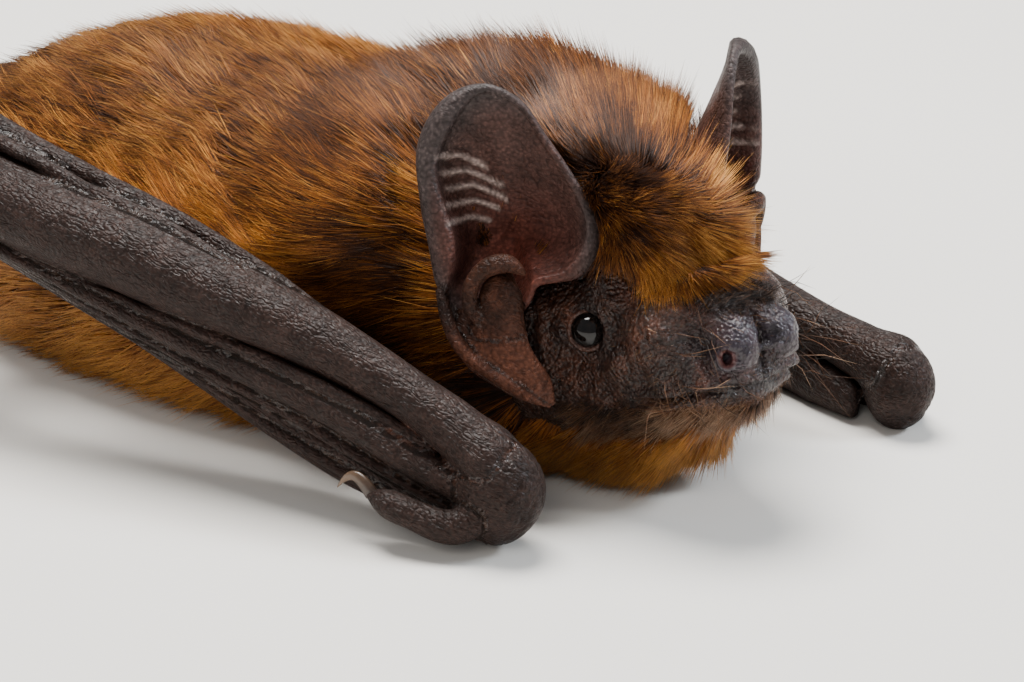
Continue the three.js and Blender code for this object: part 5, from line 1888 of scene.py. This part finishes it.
COLOURS = {
    "face": ("#2c180f", "Skin of the face"),
    # nose: the pad's own dark colour with a painted bluish sheen mixed in.
    "nose": ("#2f2b34", "Nose pad"),
    # dark: the lids' and lips' own colour, and painted shade in hollows, creases, nostril holes and under the
    # fringe.
    "dark": ("#1a1413", "Lids, lips and creases"),
    # warm: the cheek lobe's and snout's own colour, and painted highlight on the head's swellings.
    "warm": ("#553326", "Cheek lobe and snout"),
    "under_fur": ("#24160e", "Skin and roots under the coat"),
    "ear": ("#402c27", "Ears"),
    "canal": ("#602b1f", "Ear canal"),
    # ridge: painted highlight on the ribs inside the ears.
    "ridge": ("#94847d", "Ribs inside the ears"),
    "rim": ("#393332", "Ear rims"),
    "wing": ("#271b17", "Wings"),
    "foot": ("#1f1613", "Feet and shins"),
    # fur_root: partly the hairs' own dark base, partly painted shade deep in the coat.
    "fur_root": ("#100805", "Fur at its root"),
    "fur_low": ("#2e1608", "Fur, lower part"),
    "fur_mid": ("#92541c", "Fur, upper part"),
    "fur_tip": ("#e09f49", "Fur at its tip"),
    "hair": ("#6a4730", "Hairs of the face"),
    "hair_tip": ("#b8987a", "Hairs of the face at the tip"),
    # fur_painted_sheen: a cool grey painted sheen that stands in for light glancing off the tips.
    "fur_painted_sheen": ("#74604f", "Ashen fur tips"),
    "floor": ("#d9d5cf", "Floor"),
}


class BatColours(bpy.types.PropertyGroup):
    """Colours of the bat as sRGB hex codes."""


for _name, (_code, _what) in COLOURS.items():
    BatColours.__annotations__[_name] = bpy.props.StringProperty(
        name=_what, description=f"sRGB hex colour. {_what}", default=_code
    )


class BatSizes(bpy.types.PropertyGroup):
    """Sizes of the coat."""

    length: bpy.props.FloatProperty(
        name="Coat length", description="Length of the tufts against their usual length", default=1.0,
        min=0.2, max=2.0
    )
    thickness: bpy.props.FloatProperty(
        name="Coat thickness", description="Number of tufts against the usual number", default=1.0, min=0.1,
        max=1.2
    )


def chosen(group):
    """The settings of a property group as a dict."""
    return {name: getattr(group, name) for name in group.__annotations__}


class BAT_OT_skin(bpy.types.Operator):
    """Build the one skin of head, trunk, ears, wings, legs and tail"""

    bl_idname = "bat.skin"
    bl_label = "Skin"

    def execute(self, context):
        skin = build_skin(chosen(context.scene.bat_colours))
        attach(skin, "root")
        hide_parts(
            *[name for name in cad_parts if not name.startswith(("eye", "claw", "thumb_claw"))]
        )
        return {"FINISHED"}


class BAT_OT_eyes(bpy.types.Operator):
    """Build both eyes"""

    bl_idname = "bat.eyes"
    bl_label = "Eyes"

    def execute(self, context):
        build_eyes()
        return {"FINISHED"}


class BAT_OT_claws(bpy.types.Operator):
    """Build the claws of feet and thumbs"""

    bl_idname = "bat.claws"
    bl_label = "Claws"

    def execute(self, context):
        build_claws()
        return {"FINISHED"}


class BAT_OT_coat(bpy.types.Operator):
    """Grow the coat over head and trunk"""

    bl_idname = "bat.coat"
    bl_label = "Coat"

    def execute(self, context):
        for piece in build_coat(chosen(context.scene.bat_sizes), chosen(context.scene.bat_colours)):
            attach(piece, "root")
        return {"FINISHED"}


class BAT_OT_stage(bpy.types.Operator):
    """Set out the floor, lights and camera"""

    bl_idname = "bat.stage"
    bl_label = "Stage"

    def execute(self, context):
        build_stage(chosen(context.scene.bat_colours))
        return {"FINISHED"}


class BAT_PT_panel(bpy.types.Panel):
    """Settings and builders of the bat"""

    bl_label = "Common noctule bat"
    bl_space_type = "VIEW_3D"
    bl_region_type = "UI"
    bl_category = "Bat"

    def draw(self, context):
        for group in (context.scene.bat_sizes, context.scene.bat_colours):
            for name in group.__annotations__:
                self.layout.prop(group, name)
        for operator in OPERATORS:
            self.layout.operator(operator.bl_idname)


OPERATORS = (BAT_OT_skin, BAT_OT_eyes, BAT_OT_claws, BAT_OT_coat, BAT_OT_stage)
CLASSES = (BatColours, BatSizes, *OPERATORS, BAT_PT_panel)


def register():
    """Makes the settings, operators and panel known to Blender."""
    for item in CLASSES:
        bpy.utils.register_class(item)
    bpy.types.Scene.bat_colours = bpy.props.PointerProperty(type=BatColours)
    bpy.types.Scene.bat_sizes = bpy.props.PointerProperty(type=BatSizes)


def unregister():
    """Takes them away again."""
    del bpy.types.Scene.bat_colours
    del bpy.types.Scene.bat_sizes
    for item in reversed(CLASSES):
        bpy.utils.unregister_class(item)


def main():
    """Builds the whole bat."""
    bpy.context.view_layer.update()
    register()
    for build in (bpy.ops.bat.skin, bpy.ops.bat.eyes, bpy.ops.bat.claws, bpy.ops.bat.coat, bpy.ops.bat.stage):
        build()


if __name__ == "__main__":
    main()
